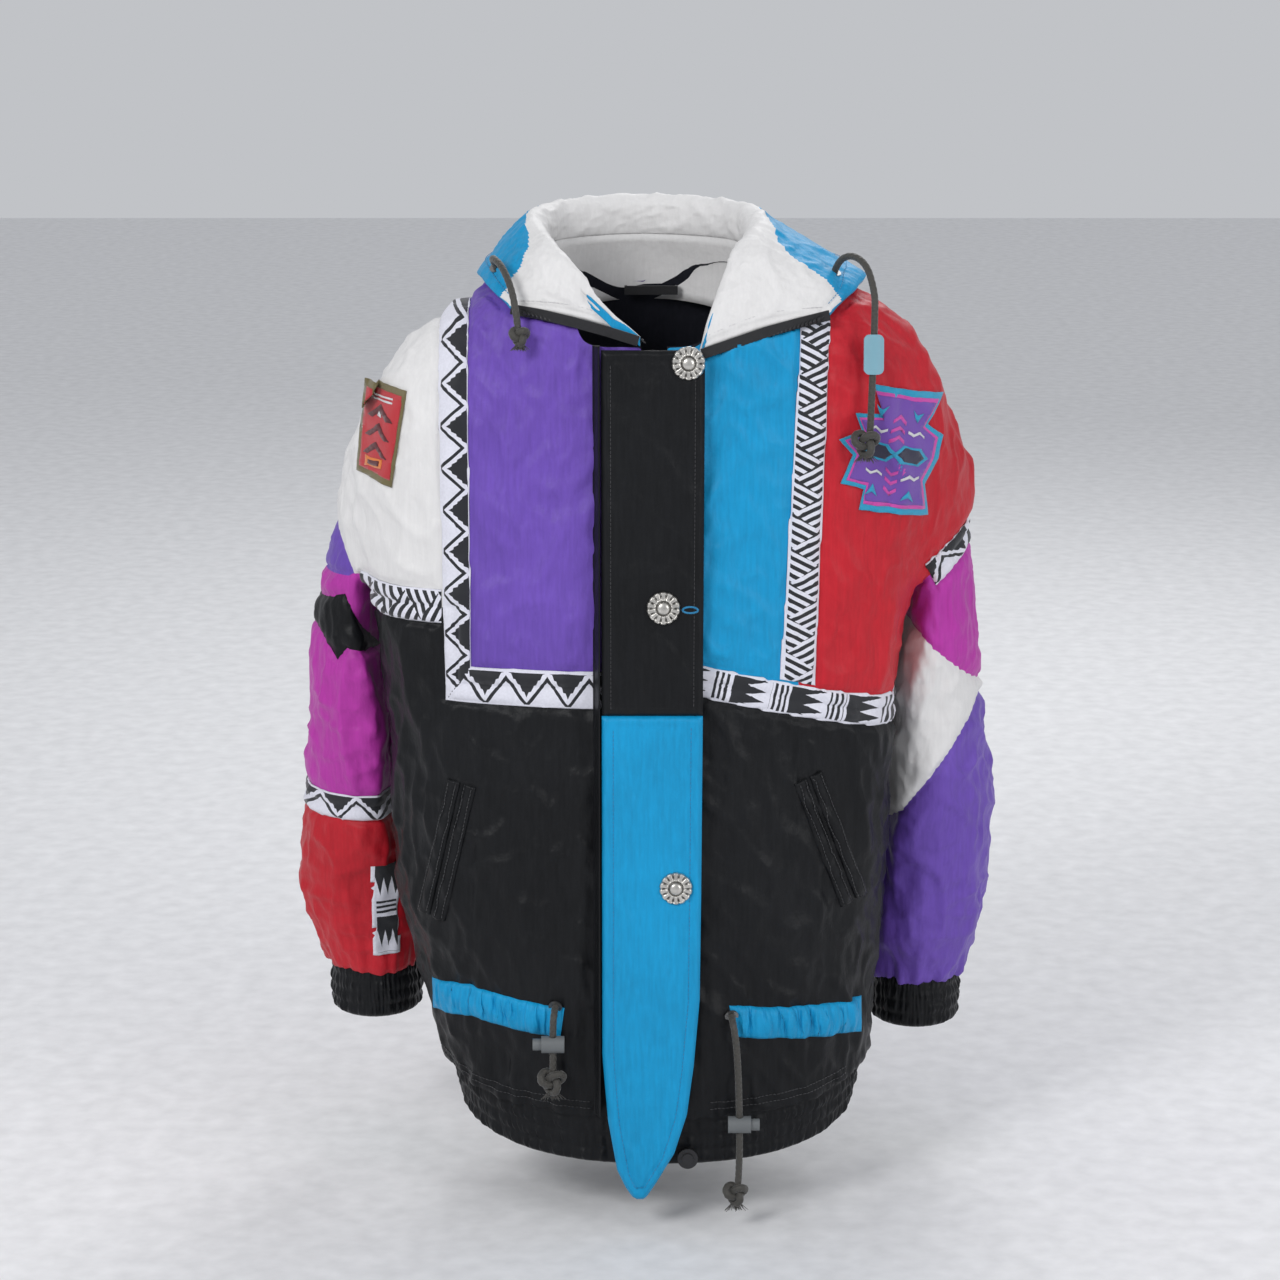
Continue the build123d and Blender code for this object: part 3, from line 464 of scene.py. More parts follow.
def trim_form(obj):
    """Open the closed form at the wrists, hem, neck and front."""
    bm = bmesh.new()
    bm.from_mesh(obj.data)
    for side, sign in ((RIGHT, -1.0), (LEFT, 1.0)):
        centres = face_centres(bm)
        near_wrist = (sign * centres[:, 0] > 150) & (np.abs(centres[:, 2] - SLEEVE_END[side]) < 40)
        near_wrist &= outside_torso(centres) > ARM_GAP / 2
        bisect(bm, near_wrist, (0, 0, SLEEVE_END[side]), (0, 0, -1), clear=True)
        centres = face_centres(bm)
        gone = (sign * centres[:, 0] > 150) & (centres[:, 2] < SLEEVE_END[side]) & (outside_torso(centres) > 4)
        bmesh.ops.delete(bm, geom=[f for f, g in zip(list(bm.faces), gone) if g], context="FACES")
    bisect(bm, np.ones(len(bm.faces), bool), (0, 0, APRON_Z), (0, APRON_TILT, -1), clear=True)
    for edge in (-SLOT_HALF, SLOT_HALF):
        centres = face_centres(bm)
        bisect(bm, centres[:, 1] < BELLY_Y, (ZIP_X + edge, 0, 0), (1, 0, 0))
    centres = face_centres(bm)
    slot = (np.abs(centres[:, 0] - ZIP_X) < SLOT_HALF) & (centres[:, 1] < BELLY_Y)
    reach = np.hypot((centres[:, 0] - NECK_CENTRE[0]) / NECK_R[0], (centres[:, 1] - NECK_CENTRE[1]) / NECK_R[1])
    neck = (reach < 1) & (centres[:, 2] > 0.15 * centres[:, 1] - 8)
    bmesh.ops.delete(bm, geom=[f for f, g in zip(list(bm.faces), slot | neck) if g], context="FACES")
    bmesh.ops.delete(bm, geom=[v for v in bm.verts if not v.link_faces], context="VERTS")
    even_rim(bm)
    bm.to_mesh(obj.data)
    bm.free()


def seam_lines():
    """Seams that hold the panels down: zone and two x, z points each."""
    lines = []
    for _, zone, outline, _, _ in PANELS:
        for a, b in zip(outline, outline[1:] + outline[:1]):
            if max(abs(v) for v in a + b) < FAR or abs(a[0] - b[0]) > 100:
                lines.append((zone, a, b))
    return lines


def seam_distance(points):
    """Distance in mm from each point to the nearest seam of its zone."""
    masks = zones(points)
    nearest = np.abs(points[:, 1] - seam_y(points))
    for zone, (x0, z0), (x1, z1) in seam_lines():
        run = np.array([x1 - x0, z1 - z0], float)
        offset = points[:, [0, 2]] - np.array([x0, z0])
        share = np.clip(offset @ run / (run @ run), 0, 1)
        gap = np.hypot(*(offset - share[:, None] * run).T)
        nearest = np.where(masks[zone], np.minimum(nearest, gap), nearest)
    return nearest


def boundary_flags(mesh):
    """1 for vertices on an open edge."""
    count = {}
    for polygon in mesh.polygons:
        for key in polygon.edge_keys:
            count[key] = count.get(key, 0) + 1
    flags = np.zeros(len(mesh.vertices))
    for (a, b), uses in count.items():
        if uses == 1:
            flags[[a, b]] = 1
    return flags


# ---------------------------------------------------------------- the collar's form
COLLAR = [
    ((0, -118, -14), (-109, -100, 11), [(28, -6), (56, 1), (84, 7)]),
    ((-38, -104, 18), (-125, -80, 19), [(12, 36), (32, 41), (58, 33)]),
    ((-64, -72, 46), (-137, -50, 27), [(6, 55), (20, 62), (42, 52)]),
    ((-80, -12, 48), (-141, -2, 31), [(2, 67), (14, 77), (29, 68)]),
    ((-62, 44, 50), (-98, 76, 40), [(2, 72), (13, 83), (25, 74)]),
    ((4, 78, 50), (4, 115, 45), [(2, 74), (12, 85), (24, 76)]),
    ((72, 44, 50), (116, 78, 40), [(2, 72), (14, 83), (28, 73)]),
    ((90, -12, 48), (192, -6, 31), [(2, 66), (16, 76), (36, 66)]),
    ((76, -72, 46), (190, -54, 24), [(6, 54), (24, 61), (58, 48)]),
    ((62, -100, 14), (178, -80, 16), [(18, 28), (46, 37), (84, 29)]),
    ((51, -118, -25), (160, -102, 6), [(28, -16), (56, -7), (84, 0)]),
]
# share of the fall, from neck to free edge, where the lining gives way to the coloured band
BAND_START = [1.2, 0.9, 0.66, 0.6, 0.6, 0.6, 0.6, 0.62, 0.71, 0.92, 1.2]
COLLAR_THICK = 8.6


def collar_line(station):
    neck, edge, crest = station
    run = math.hypot(edge[0] - neck[0], edge[1] - neck[1])
    ux, uy = (edge[0] - neck[0]) / run, (edge[1] - neck[1]) / run
    return np.array([(neck[0] + ux * d, neck[1] + uy * d, h) for d, h in [(0, neck[2]), *crest, (run, edge[2])]])


def collar_grid(columns, rows):
    """Smooth top face of the collar: columns along it, rows from neck to free edge."""
    lines = np.array([collar_line(station) for station in COLLAR])
    down = np.linspace(0, 4, rows)
    read = np.array([[smooth(np.arange(5), line[:, k], down) for k in range(3)] for line in lines])
    along = np.linspace(0, len(COLLAR) - 1, columns)
    return np.array([[smooth(np.arange(len(COLLAR)), read[:, k, r], along) for k in range(3)]
                     for r in range(rows)]).transpose(2, 0, 1)


def grid_normals(grid):
    du, dv = np.gradient(grid, axis=0), np.gradient(grid, axis=1)
    cross = np.cross(dv, du)
    return cross / np.maximum(np.linalg.norm(cross, axis=2, keepdims=True), 1e-9)


def collar_surface(columns, rows):
    """The collar's top face and its upward normals."""
    grid = collar_grid(columns, rows)
    up = grid_normals(grid)
    return grid, up if up[columns // 2, rows // 2, 2] > 0 else -up


def under_collar(points):
    """Points in mm, sunk where they would come through the collar."""
    grid, up = collar_surface(260, 64)
    middle = (grid - up * COLLAR_THICK / 2).reshape(-1, 3)
    out = up.reshape(-1, 3)
    tree = KDTree(len(middle))
    for i, place in enumerate(middle):
        tree.insert(place, i)
    tree.balance()
    points = points.copy()
    clear = COLLAR_THICK / 2 + 1.6
    for i in np.nonzero(points[:, 2] > -70)[0]:
        _, near, _ = tree.find(points[i])
        offset = points[i] - middle[near]
        height = float(offset @ out[near])
        aside = np.linalg.norm(offset - height * out[near])
        if aside < 7.0 and -clear < height < 16.0:
            points[i] -= out[near] * (height + clear)
    return points


# ---------------------------------------------------------------- the shell: form, simulation and wrinkles
PUFF_CAP = 9.0 * MM
FRAMES = 14
SEAM_SINK = 1.6


def simulate(obj, pins, growth, pressure, frames):
    """Inflate the cloth between its pinned seams; growth is the extra length of its cut cloth."""
    rest = coords(obj.data)
    obj.shape_key_add(name="Basis")
    cut = obj.shape_key_add(name="cut")
    middle = rest.mean(0)
    grown = middle + (rest - middle) * (1.0 + growth)
    cut.data.foreach_set("co", grown.ravel())
    group = obj.vertex_groups.new(name="pins")
    for weight in (0.5, 1.0):
        chosen = np.nonzero(np.isclose(pins, weight))[0]
        group.add([int(i) for i in chosen], weight, "REPLACE")
    modifier = obj.modifiers.new("cloth", "CLOTH")
    cloth = modifier.settings
    cloth.quality = 4
    cloth.mass = 0.12
    cloth.tension_stiffness = cloth.compression_stiffness = 12.0
    cloth.shear_stiffness = 4.0
    cloth.bending_stiffness = 0.35
    cloth.use_pressure = True
    cloth.uniform_pressure_force = pressure
    cloth.effector_weights.gravity = 0.0
    cloth.vertex_group_mass = "pins"
    cloth.pin_stiffness = 1.0
    cloth.rest_shape_key = cut
    modifier.collision_settings.use_collision = False
    modifier.collision_settings.use_self_collision = False
    modifier.point_cache.frame_start = 1
    modifier.point_cache.frame_end = frames
    for frame_number in range(1, frames + 1):
        scene.frame_set(frame_number)
    evaluated = obj.evaluated_get(bpy.context.evaluated_depsgraph_get())
    moved = coords(evaluated.to_mesh()).copy()
    evaluated.to_mesh_clear()
    obj.modifiers.clear()
    obj.shape_key_clear()
    scene.frame_set(1)
    shift = moved - rest
    size = np.linalg.norm(shift, axis=1)
    cap = PUFF_CAP * np.tanh(size / PUFF_CAP)
    set_coords(obj.data, rest + shift * (cap / np.maximum(size, 1e-9))[:, None])


def wrinkle_height(points):
    """Folds of the shell in mm, along its normal, at rest points in mm."""
    x, y, z = points.T
    turn = np.arctan2(y + 10, x)
    arm = outside_torso(points) > ARM_GAP / 2
    height = 3.3 * (ridges(points, (1 / 46, 1 / 46, 1 / 120), 3.1) - 0.35)
    height += 1.9 * (ridges(points, (1 / 21, 1 / 21, 1 / 40), 7.7) - 0.35)
    height += 2.2 * (ridges(points + 0.5 * z[:, None], (1 / 34, 1 / 34, 1 / 90), 5.9) - 0.35)
    height += 0.6 * noise_at(points, (1 / 9, 1 / 9, 1 / 15), 1.3)
    around = np.where(arm, np.arctan2(y - 50, np.abs(x) - 250) * 55, turn * 200)
    gathers = noise_at(np.stack([around, np.zeros_like(x), z * 0.12], 1), 1 / 9.0, 5.0)
    wrist = np.where(x < 0, z - SLEEVE_END[RIGHT], z - SLEEVE_END[LEFT])
    height += np.where(arm, 4.2 * np.exp(-np.maximum(wrist, 0) / 26) * gathers, 0)
    hem = z - (APRON_Z + APRON_TILT * y)
    casing = z + np.where(x < 12, 600, 600 + 0.16 * np.maximum(x - 80, 0))
    height += np.where(~arm, 2.2 * np.exp(-np.maximum(hem, 0) / 34) * gathers, 0)
    height += np.where(~arm, 2.6 * np.exp(-np.abs(casing) / 30) * gathers, 0)
    neck = np.hypot((x - NECK_CENTRE[0]) / NECK_R[0], (y - NECK_CENTRE[1]) / NECK_R[1]) - 1
    neck_gathers = noise_at(np.stack([np.where(y < -60, x, turn * 110), z * 0.1, z * 0], 1), 1 / 8.0, 9.0)
    height += np.where(z > -110, 1.7 * np.exp(-np.abs(neck) * 3.2) * neck_gathers, 0)
    elbow = np.exp(-((z + 400) / 120) ** 2) + np.exp(-((z + 560) / 50) ** 2)
    cross = ridges(points, (1 / 60, 1 / 60, 1 / 22), 4.4) - 0.4
    return height + np.where(arm, 1.9 * elbow * cross, 0)


def quilt(obj, levels=1):
    """Subdivide, keeping the rest coordinates as an attribute."""
    modifier = obj.modifiers.new("subdivision", "SUBSURF")
    modifier.levels = modifier.render_levels = levels
    apply_modifiers(obj)


voxel = 0.0055
shell = remeshed("shell", [torso_tube(), sleeve_tube(RIGHT), sleeve_tube(LEFT)], voxel)
caps = coords(shell.data) / MM
caps = np.clip((caps[:, 2] + 250) / 40, 0, 1) * np.clip((np.abs(caps[:, 0] - 8) - 118) / 30, 0, 1)
for _ in range(60):
    relax(shell.data, 0.5, caps)
outer_arm = coords(shell.data) / MM
outer_arm = np.clip((outer_arm[:, 2] + 330) / 60, 0, 1) * np.clip((np.abs(outer_arm[:, 0] - 6) - 205) / 30, 0, 1)
for _ in range(90):
    relax(shell.data, 0.5, outer_arm)
trim_form(shell)
write_vectors(shell.data, "rest", coords(shell.data) / MM)
rest_points = coords(shell.data) / MM
base_normals = normals(shell.data)
lining_source = shell.data.copy()
lining_normals = base_normals.copy()
seam_gap = seam_distance(rest_points)
edge_flags = boundary_flags(shell.data)
pins = np.where((seam_gap < 4.5) | (edge_flags > 0), 1.0, 0.0)
set_coords(shell.data, (rest_points - SEAM_SINK * pins[:, None] * base_normals) * MM)
simulate(shell, pins, 0.035, 2.4, FRAMES)


def cut_panels(obj):
    """Cut the shell along every seam in rest coordinates, then give each face its panel."""
    bm = bmesh.new()
    bm.from_mesh(obj.data)
    now = bm.verts.layers.float_vector.new("now")
    rest = bm.verts.layers.float_vector["rest"]
    for vertex in bm.verts:
        vertex[now] = vertex.co
        vertex.co = vertex[rest] * MM
    for zone, (x0, z0), (x1, z1) in seam_lines():
        centres = face_centres(bm)
        length = math.hypot(x1 - x0, z1 - z0)
        along = ((centres[:, 0] - x0) * (x1 - x0) + (centres[:, 2] - z0) * (z1 - z0)) / length
        across = np.abs((centres[:, 0] - x0) * (z1 - z0) - (centres[:, 2] - z0) * (x1 - x0)) / length
        near = (across < 12) & (along > -9) & (along < length + 9) & zones(centres)[zone]
        bisect(bm, near, (x0, 0, z0), ((z1 - z0) / length, 0, -(x1 - x0) / length))
    centres = face_centres(bm)
    level = (np.abs(centres[:, 0]) < 150) | ((centres[:, 2] < -240) & (outside_torso(centres) < ARM_GAP / 2))
    bisect(bm, level & (np.abs(centres[:, 1] - SIDE_SEAM_Y) < 12), (0, SIDE_SEAM_Y, 0), (0, 1, 0))
    for sign in (-1.0, 1.0):
        centres = face_centres(bm)
        slanted = (sign * centres[:, 0] > 150) & (np.abs(centres[:, 1] - seam_y(centres)) < 12)
        slanted &= (centres[:, 2] > -240) | (outside_torso(centres) > ARM_GAP / 2)
        bisect(bm, slanted, (sign * 150, SIDE_SEAM_Y, 0), (-sign * ARM_SEAM, 1, 0))
    chosen = panel_of(face_centres(bm))
    for face, index in zip(bm.faces, chosen):
        face.material_index = int(max(index, 0))
    for vertex in bm.verts:
        vertex.co = vertex[now]
    bmesh.ops.triangulate(bm, faces=[f for f in bm.faces if len(f.verts) > 4])
    bm.to_mesh(obj.data)
    bm.free()


cut_panels(shell)
quilt(shell)

shell_rest = read_vectors(shell.data, "rest")
shell_gap = seam_distance(shell_rest)
relief = wrinkle_height(shell_rest) * (1 - 0.75 * np.exp(-shell_gap / 7.0))
relief -= 1.3 * np.exp(-(shell_gap / 2.6) ** 2)
set_coords(shell.data, coords(shell.data) + relief[:, None] * normals(shell.data) * MM)
set_coords(shell.data, under_collar(coords(shell.data) / MM) * MM)


# ---------------------------------------------------------------- materials
class Graph:
    """A short way to write a material's node graph."""

    def __init__(self, name, **values):
        self.material = bpy.data.materials.new(name)
        self.material.use_nodes = True
        self.tree = self.material.node_tree
        self.shader = self.tree.nodes["Principled BSDF"]
        for socket, value in values.items():
            self.shader.inputs[socket.replace("_", " ")].default_value = value

    def put(self, socket, value):
        if isinstance(value, bpy.types.NodeSocket):
            self.tree.links.new(value, socket)
        else:
            socket.default_value = value

    def node(self, kind, output=0, **inputs):
        made = self.tree.nodes.new("ShaderNode" + kind)
        for name, value in inputs.items():
            self.put(made.inputs[name.replace("_", " ")], value)
        return made.outputs[output]

    def math(self, operation, a, b=0.0, c=0.0):
        made = self.tree.nodes.new("ShaderNodeMath")
        made.operation = operation
        for socket, value in zip(made.inputs, (a, b, c)):
            self.put(socket, value)
        return made.outputs[0]

    def mix(self, factor, a, b):
        made = self.tree.nodes.new("ShaderNodeMix")
        made.data_type = "RGBA"
        for socket, value in ((made.inputs[0], factor), (made.inputs[6], a), (made.inputs[7], b)):
            self.put(socket, value)
        return made.outputs[2]

    def place(self):
        return self.tree.nodes.new("ShaderNodeTexCoord").outputs["Object"]

    def stretched(self, scale):
        return self.node("Mapping", Vector=self.place(), Scale=scale)

    def noise(self, scale, detail=3.0, stretch=None):
        vector = self.stretched(stretch) if stretch else self.place()
        return self.node("TexNoise", Vector=vector, Scale=scale, Detail=detail)

    def colour(self, value):
        self.put(self.shader.inputs["Base Color"], value)

    def bump(self, height, distance, strength=1.0, below=None):
        made = self.tree.nodes.new("ShaderNodeBump")
        made.inputs["Distance"].default_value = distance
        made.inputs["Strength"].default_value = strength
        self.put(made.inputs["Height"], height)
        if below is not None:
            self.tree.links.new(below, made.inputs["Normal"])
        self.tree.links.new(made.outputs[0], self.shader.inputs["Normal"])
        return made.outputs[0]


def rgba(colour, factor=1.0):
    return (colour[0] * factor, colour[1] * factor, colour[2] * factor, 1.0)


def crinkle(graph, amount=1.0):
    """Fine crumple, slub threads and plain weave of light nylon."""
    lower = graph.bump(graph.noise(95.0, 5.0), 0.0016 * amount, 0.55)
    middle = graph.bump(graph.noise(300.0, 3.0, (1.0, 1.0, 0.35)), 0.0005 * amount, 0.6, lower)
    weave = graph.node("TexWave", Vector=graph.place(), Scale=430.0, Distortion=1.5, Detail=1.0)
    graph.bump(weave, 0.00008, 0.5, middle)


def nylon(name, colour, roughness=0.46, shade=0.80, tint=1.12, sheen=0.06, specular=0.24):
    graph = Graph(name, Roughness=roughness, Sheen_Weight=sheen, Sheen_Roughness=0.4, Specular_IOR_Level=specular)
    slub = graph.noise(60.0, 4.0, (6.0, 6.0, 0.5))
    cloud = graph.noise(9.0, 3.0)
    share = graph.math("ADD", graph.math("MULTIPLY", slub, 0.5), graph.math("MULTIPLY", cloud, 0.5))
    share = graph.math("MULTIPLY_ADD", share, 2.4, -0.7)
    graph.colour(graph.mix(graph.math("MINIMUM", graph.math("MAXIMUM", share, 0.0), 1.0),
                           rgba(colour, shade), rgba(colour, tint)))
    crinkle(graph)
    return graph.material


BLACK, WHITE = (0.0075, 0.0080, 0.0092), (0.74, 0.73, 0.725)
TAPE_WHITE, TAPE_BLACK = (0.72, 0.72, 0.80, 1.0), (0.010, 0.011, 0.015, 1.0)


def tape_inputs(graph):
    """Place across the tape from -1 to 1, and along it in mm."""
    uv = graph.tree.nodes.new("ShaderNodeUVMap").outputs[0]
    split = graph.tree.nodes.new("ShaderNodeSeparateXYZ")
    graph.tree.links.new(uv, split.inputs[0])
    return split.outputs[0], split.outputs[1]


def triangle(graph, value, period):
    """Zigzag from 0 to 1 and back over each period."""
    phase = graph.math("FRACT", graph.math("DIVIDE", value, period))
    return graph.math("ABSOLUTE", graph.math("MULTIPLY_ADD", phase, 2.0, -1.0))


def both(graph, a, b):
    return graph.math("MULTIPLY", a, b)


def either(graph, a, b):
    return graph.math("MAXIMUM", a, b)


def zigzag_tape(graph, across, along):
    """Toothed triangles on one side of a zigzag, and a plain stripe beside it."""
    wave = graph.math("MULTIPLY_ADD", triangle(graph, along, 36.0), 1.5, -0.75)
    teeth = graph.math("MULTIPLY", triangle(graph, along, 4.0), 0.13)
    offset = graph.math("SUBTRACT", across, wave)
    block = graph.math("LESS_THAN", offset, graph.math("ADD", teeth, -0.42))
    stripe = graph.math("LESS_THAN", graph.math("ABSOLUTE", graph.math("ADD", offset, -0.18)), 0.15)
    return either(graph, block, stripe)


def chevron_tape(graph, across, along):
    """Slanting stripes that turn back at a zigzag line."""
    wave = graph.math("MULTIPLY_ADD", triangle(graph, along, 30.0), 1.6, -0.8)
    turn = graph.math("SIGN", graph.math("SUBTRACT", across, wave))
    slant = graph.math("MULTIPLY", graph.math("MULTIPLY", across, turn), 0.95)
    phase = graph.math("FRACT", graph.math("ADD", graph.math("DIVIDE", along, 7.4), slant))
    return graph.math("LESS_THAN", phase, 0.5)


def block_tape(graph, across, along):
    """Blocks with spikes, between groups of bars."""
    place = graph.math("FRACT", graph.math("DIVIDE", along, 52.0))
    spikes = triangle(graph, graph.math("ADD", across, 2.0), 0.62)
    reach = graph.math("MULTIPLY_ADD", spikes, 0.34, 0.30)
    black = graph.math("LESS_THAN", place, reach)
    outside = graph.math("GREATER_THAN", place, 0.72)
    bars = graph.math("LESS_THAN", graph.math("FRACT", graph.math("DIVIDE", along, 4.85)), 0.5)
    black = either(graph, both(graph, outside, bars), both(graph, black, graph.math("SUBTRACT", 1.0, outside)))
    start = graph.math("GREATER_THAN", place, 0.05)
    return both(graph, black, start)


def woven_tape(name, pattern, edge=0.88):
    graph = Graph(name, Roughness=0.62, Sheen_Weight=0.3, Sheen_Roughness=0.5, Specular_IOR_Level=0.35)
    across, along = tape_inputs(graph)
    inner = graph.math("LESS_THAN", graph.math("ABSOLUTE", across), edge)
    black = both(graph, pattern(graph, across, along), inner)
    thread = graph.noise(500.0, 2.0)
    white = graph.mix(thread, rgba(TAPE_WHITE, 0.86), rgba(TAPE_WHITE, 1.1))
    graph.colour(graph.mix(black, white, TAPE_BLACK))
    rib = graph.node("TexWave", Vector=graph.place(), Scale=330.0, Distortion=0.6)
    lower = graph.bump(graph.noise(110.0, 4.0), 0.0009, 0.5)
    graph.bump(graph.math("ADD", rib, black), 0.00012, 0.6, lower)
    return graph.material


MATERIALS = {
    "purple": nylon("nylon_purple", (0.150, 0.075, 0.430)),
    "turquoise": nylon("nylon_turquoise", (0.004, 0.300, 0.590)),
    "white": nylon("nylon_white", WHITE, 0.5, 0.93, 1.04),
    "red": nylon("nylon_red", (0.520, 0.014, 0.026)),
    "magenta": nylon("nylon_magenta", (0.480, 0.040, 0.380)),
    "black": nylon("nylon_black", BLACK, 0.38, 0.7, 1.5, 0.01, 0.16),
    "tape_a": woven_tape("tape_zigzag", zigzag_tape),
    "tape_b": woven_tape("tape_chevron", chevron_tape),
    "tape_c": woven_tape("tape_block", block_tape, 0.84),
}
MATERIALS["tape_d"] = MATERIALS["tape_b"]
MATERIALS["tape_e"] = MATERIALS["tape_a"]

# ---------------------------------------------------------------- one piece for each panel
# Each tape's centre lines as x, z points, and its half width.
TAPE_LINES = {
    "tape_chest_right": ([(-160, 14), (-158, -320)], 12.5),
    "tape_chest_right_foot": ([(-170, -318.5), (-2, -320.5)], 16.0),
    "tape_waist_right": ([(-250, -251), (-160, -251)], 15.0),
    "tape_waist_left": ([(26, waist_left(26)), (250, waist_left(250))], 14.0),
    "tape_chest_left": ([(151, 12), (137, -319)], 14.0),
    "sleeve_right_tape": ([(-310, -458), (-180, -458)], 12.0),
    "sleeve_right_stripe": ([(-232, -510), (-232, -600)], 10.5),
    "sleeve_left_snippet": ([(257, -238), (305, -198)], 11.0),
}


def tape_uv(mesh, name, rest):
    """Map from rest coordinates: across the tape from -1 to 1, along it in mm."""
    layer = mesh.uv_layers.new(name="pattern")
    corners = np.zeros(len(mesh.loops), dtype=np.int64)
    mesh.loops.foreach_get("vertex_index", corners)
    points = rest[corners]
    reading = []
    for key in (name, name + "_foot"):
        if key in TAPE_LINES:
            ((x0, z0), (x1, z1)), half = TAPE_LINES[key]
            length = math.hypot(x1 - x0, z1 - z0)
            ux, uz = (x1 - x0) / length, (z1 - z0) / length
            dx, dz = points[:, 0] - x0, points[:, 2] - z0
            reading.append(np.stack([(dx * uz - dz * ux) / half, dx * ux + dz * uz], axis=1))
    chosen = reading[0]
    if len(reading) > 1:
        starts = np.zeros(len(mesh.polygons), dtype=np.int64)
        totals = np.zeros(len(mesh.polygons), dtype=np.int64)
        mesh.polygons.foreach_get("loop_start", starts)
        mesh.polygons.foreach_get("loop_total", totals)
        owner = np.repeat(np.arange(len(starts)), totals)
        centre = np.stack([np.bincount(owner, points[:, k]) / totals for k in (0, 2)], axis=1)
        foot = (centre[:, 0] + 170) / 24 > (centre[:, 1] + 335) / 33
        chosen = np.where(foot[owner][:, None], reading[1], reading[0])
    layer.data.foreach_set("uv", chosen.astype(float).ravel())


def solidify(obj, thickness, offset=-1.0):
    modifier = obj.modifiers.new("thickness", "SOLIDIFY")
    modifier.thickness = thickness * MM
    modifier.offset = offset
    modifier.use_even_offset = False
    modifier.use_quality_normals = True
    apply_modifiers(obj)


def blend_arm(obj):
    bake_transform(obj)


def split_shell():
    """Make each panel an object of its own, with the whole shell's shading."""
    mesh = shell.data
    points, shading, rest = coords(mesh), normals(mesh), read_vectors(mesh, "rest")
    owner = np.zeros(len(mesh.polygons), dtype=np.int64)
    mesh.polygons.foreach_get("material_index", owner)
    polygons = [tuple(p.vertices) for p in mesh.polygons]
    for index, (name, zone, _, colour, stands_for) in enumerate(PANELS):
        chosen = [polygons[i] for i in np.nonzero(owner == index)[0]]
        if not chosen:
            continue
        used = np.unique(np.concatenate([np.array(p) for p in chosen]))
        place = {int(v): i for i, v in enumerate(used)}
        tape = colour.startswith("tape")
        lift = 0.9 if tape else 0.35 if name.endswith("inset") else 0.0
        vertices = points[used] + lift * shading[used] * MM
        obj = new_object("panel_" + name, vertices, [[place[v] for v in p] for p in chosen], MATERIALS[colour])
        if tape:
            tape_uv(obj.data, name, rest[used])
            solidify(obj, 1.3)
        else:
            obj.data.normals_split_custom_set_from_vertices([tuple(n) for n in shading[used]])
        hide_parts(*stands_for)
        side = next((s for s in (RIGHT, LEFT) if zone.startswith(s)), None)
        if not side and name in ("shoulder_panel_right", "back_yoke_right"):
            side = RIGHT
        if not side and name == "back_yoke_left":
            side = LEFT
        if side:
            blend_arm(obj)
        else:
            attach(obj, BODY)


def surface_tree(*objects):
    """Search tree over the faces of some objects."""
    vertices, faces = [], []
    for obj in objects:
        start = len(vertices)
        vertices += [tuple(p) for p in coords(obj.data)]
        faces += [tuple(v + start for v in p.vertices) for p in obj.data.polygons]
    return BVHTree.FromPolygons(vertices, faces)


shell_tree = surface_tree(shell)
split_shell()
bpy.data.objects.remove(shell)


# ---------------------------------------------------------------- lining, hem band and cuffs
def lining_pieces():
    """Inner faces of body and sleeves, 9 mm inside the shell."""
    mesh = lining_source
    points, inward = coords(mesh), lining_normals
    rest = points / MM
    masks = zones(np.array([tuple(p.center) for p in mesh.polygons]) / MM)
    polygons = [tuple(p.vertices) for p in mesh.polygons]
    shaken = 1.2 * ridges(rest, (1 / 40, 1 / 40, 1 / 70), 12.0)
    inner = points - (9.0 + shaken)[:, None] * inward * MM
    for name, mask, side, nodes in (
            ("lining_body", ~masks[RIGHT] & ~masks[LEFT], None, ["body_lining", "wadding_front", "wadding_back"]),
            ("lining_sleeve_right", masks[RIGHT], RIGHT, ["sleeve_right_lining", "sleeve_right_wadding"]),
            ("lining_sleeve_left", masks[LEFT], LEFT, ["sleeve_left_lining", "sleeve_left_wadding"])):
        chosen = [polygons[i] for i in np.nonzero(mask)[0]]
        used = np.unique(np.concatenate([np.array(p) for p in chosen]))
        place = {int(v): i for i, v in enumerate(used)}
        obj = new_object(name, inner[used], [[place[v] for v in p][::-1] for p in chosen], LINING)
        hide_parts(*nodes)
        if side:
            blend_arm(obj)
        else:
            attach(obj, BODY)


def smocked(name, ring_at, rows, columns, gathers, depth, stitch_rows, material, seed):
    """Elastic band: fine upright gathers, drawn in along rows of elastic thread.

    ring_at gives one ring of points in mm, and their outward directions, for a share down the band and a number of
    points round it."""
    turns = np.arange(columns) / columns
    outer, inner = [], []
    for row in range(rows):
        share = row / (rows - 1)
        ring, out = ring_at(share, columns)
        wave_in = np.stack([np.cos(2 * np.pi * turns) * gathers / 6.3, np.sin(2 * np.pi * turns) * gathers / 6.3,
                            np.full(columns, share * 0.9)], axis=1)
        folds = noise_at(wave_in, 1.7, seed) + 0.5 * noise_at(wave_in, 3.1, seed + 4)
        pinch = np.abs(np.sin(np.pi * share * stitch_rows))
        height = depth * (0.25 + 0.75 * pinch) * folds + 1.6 * pinch
        edge = min(share, 1 - share) * 2
        height -= 2.2 * (1 - min(1.0, edge * 9)) ** 2
        outer.append(ring + out * height[:, None])
        inner.append(ring - out * (4.5 - 0.4 * height)[:, None])
    vertices = np.concatenate(outer + inner[::-1]) * MM
    faces = grid_faces(2 * rows, columns, closed=True)
    last = (2 * rows - 1) * columns
    faces += [(last + c, last + (c + 1) % columns, (c + 1) % columns, c) for c in range(columns)]
    obj = new_object(name, vertices, faces, material)
    return obj


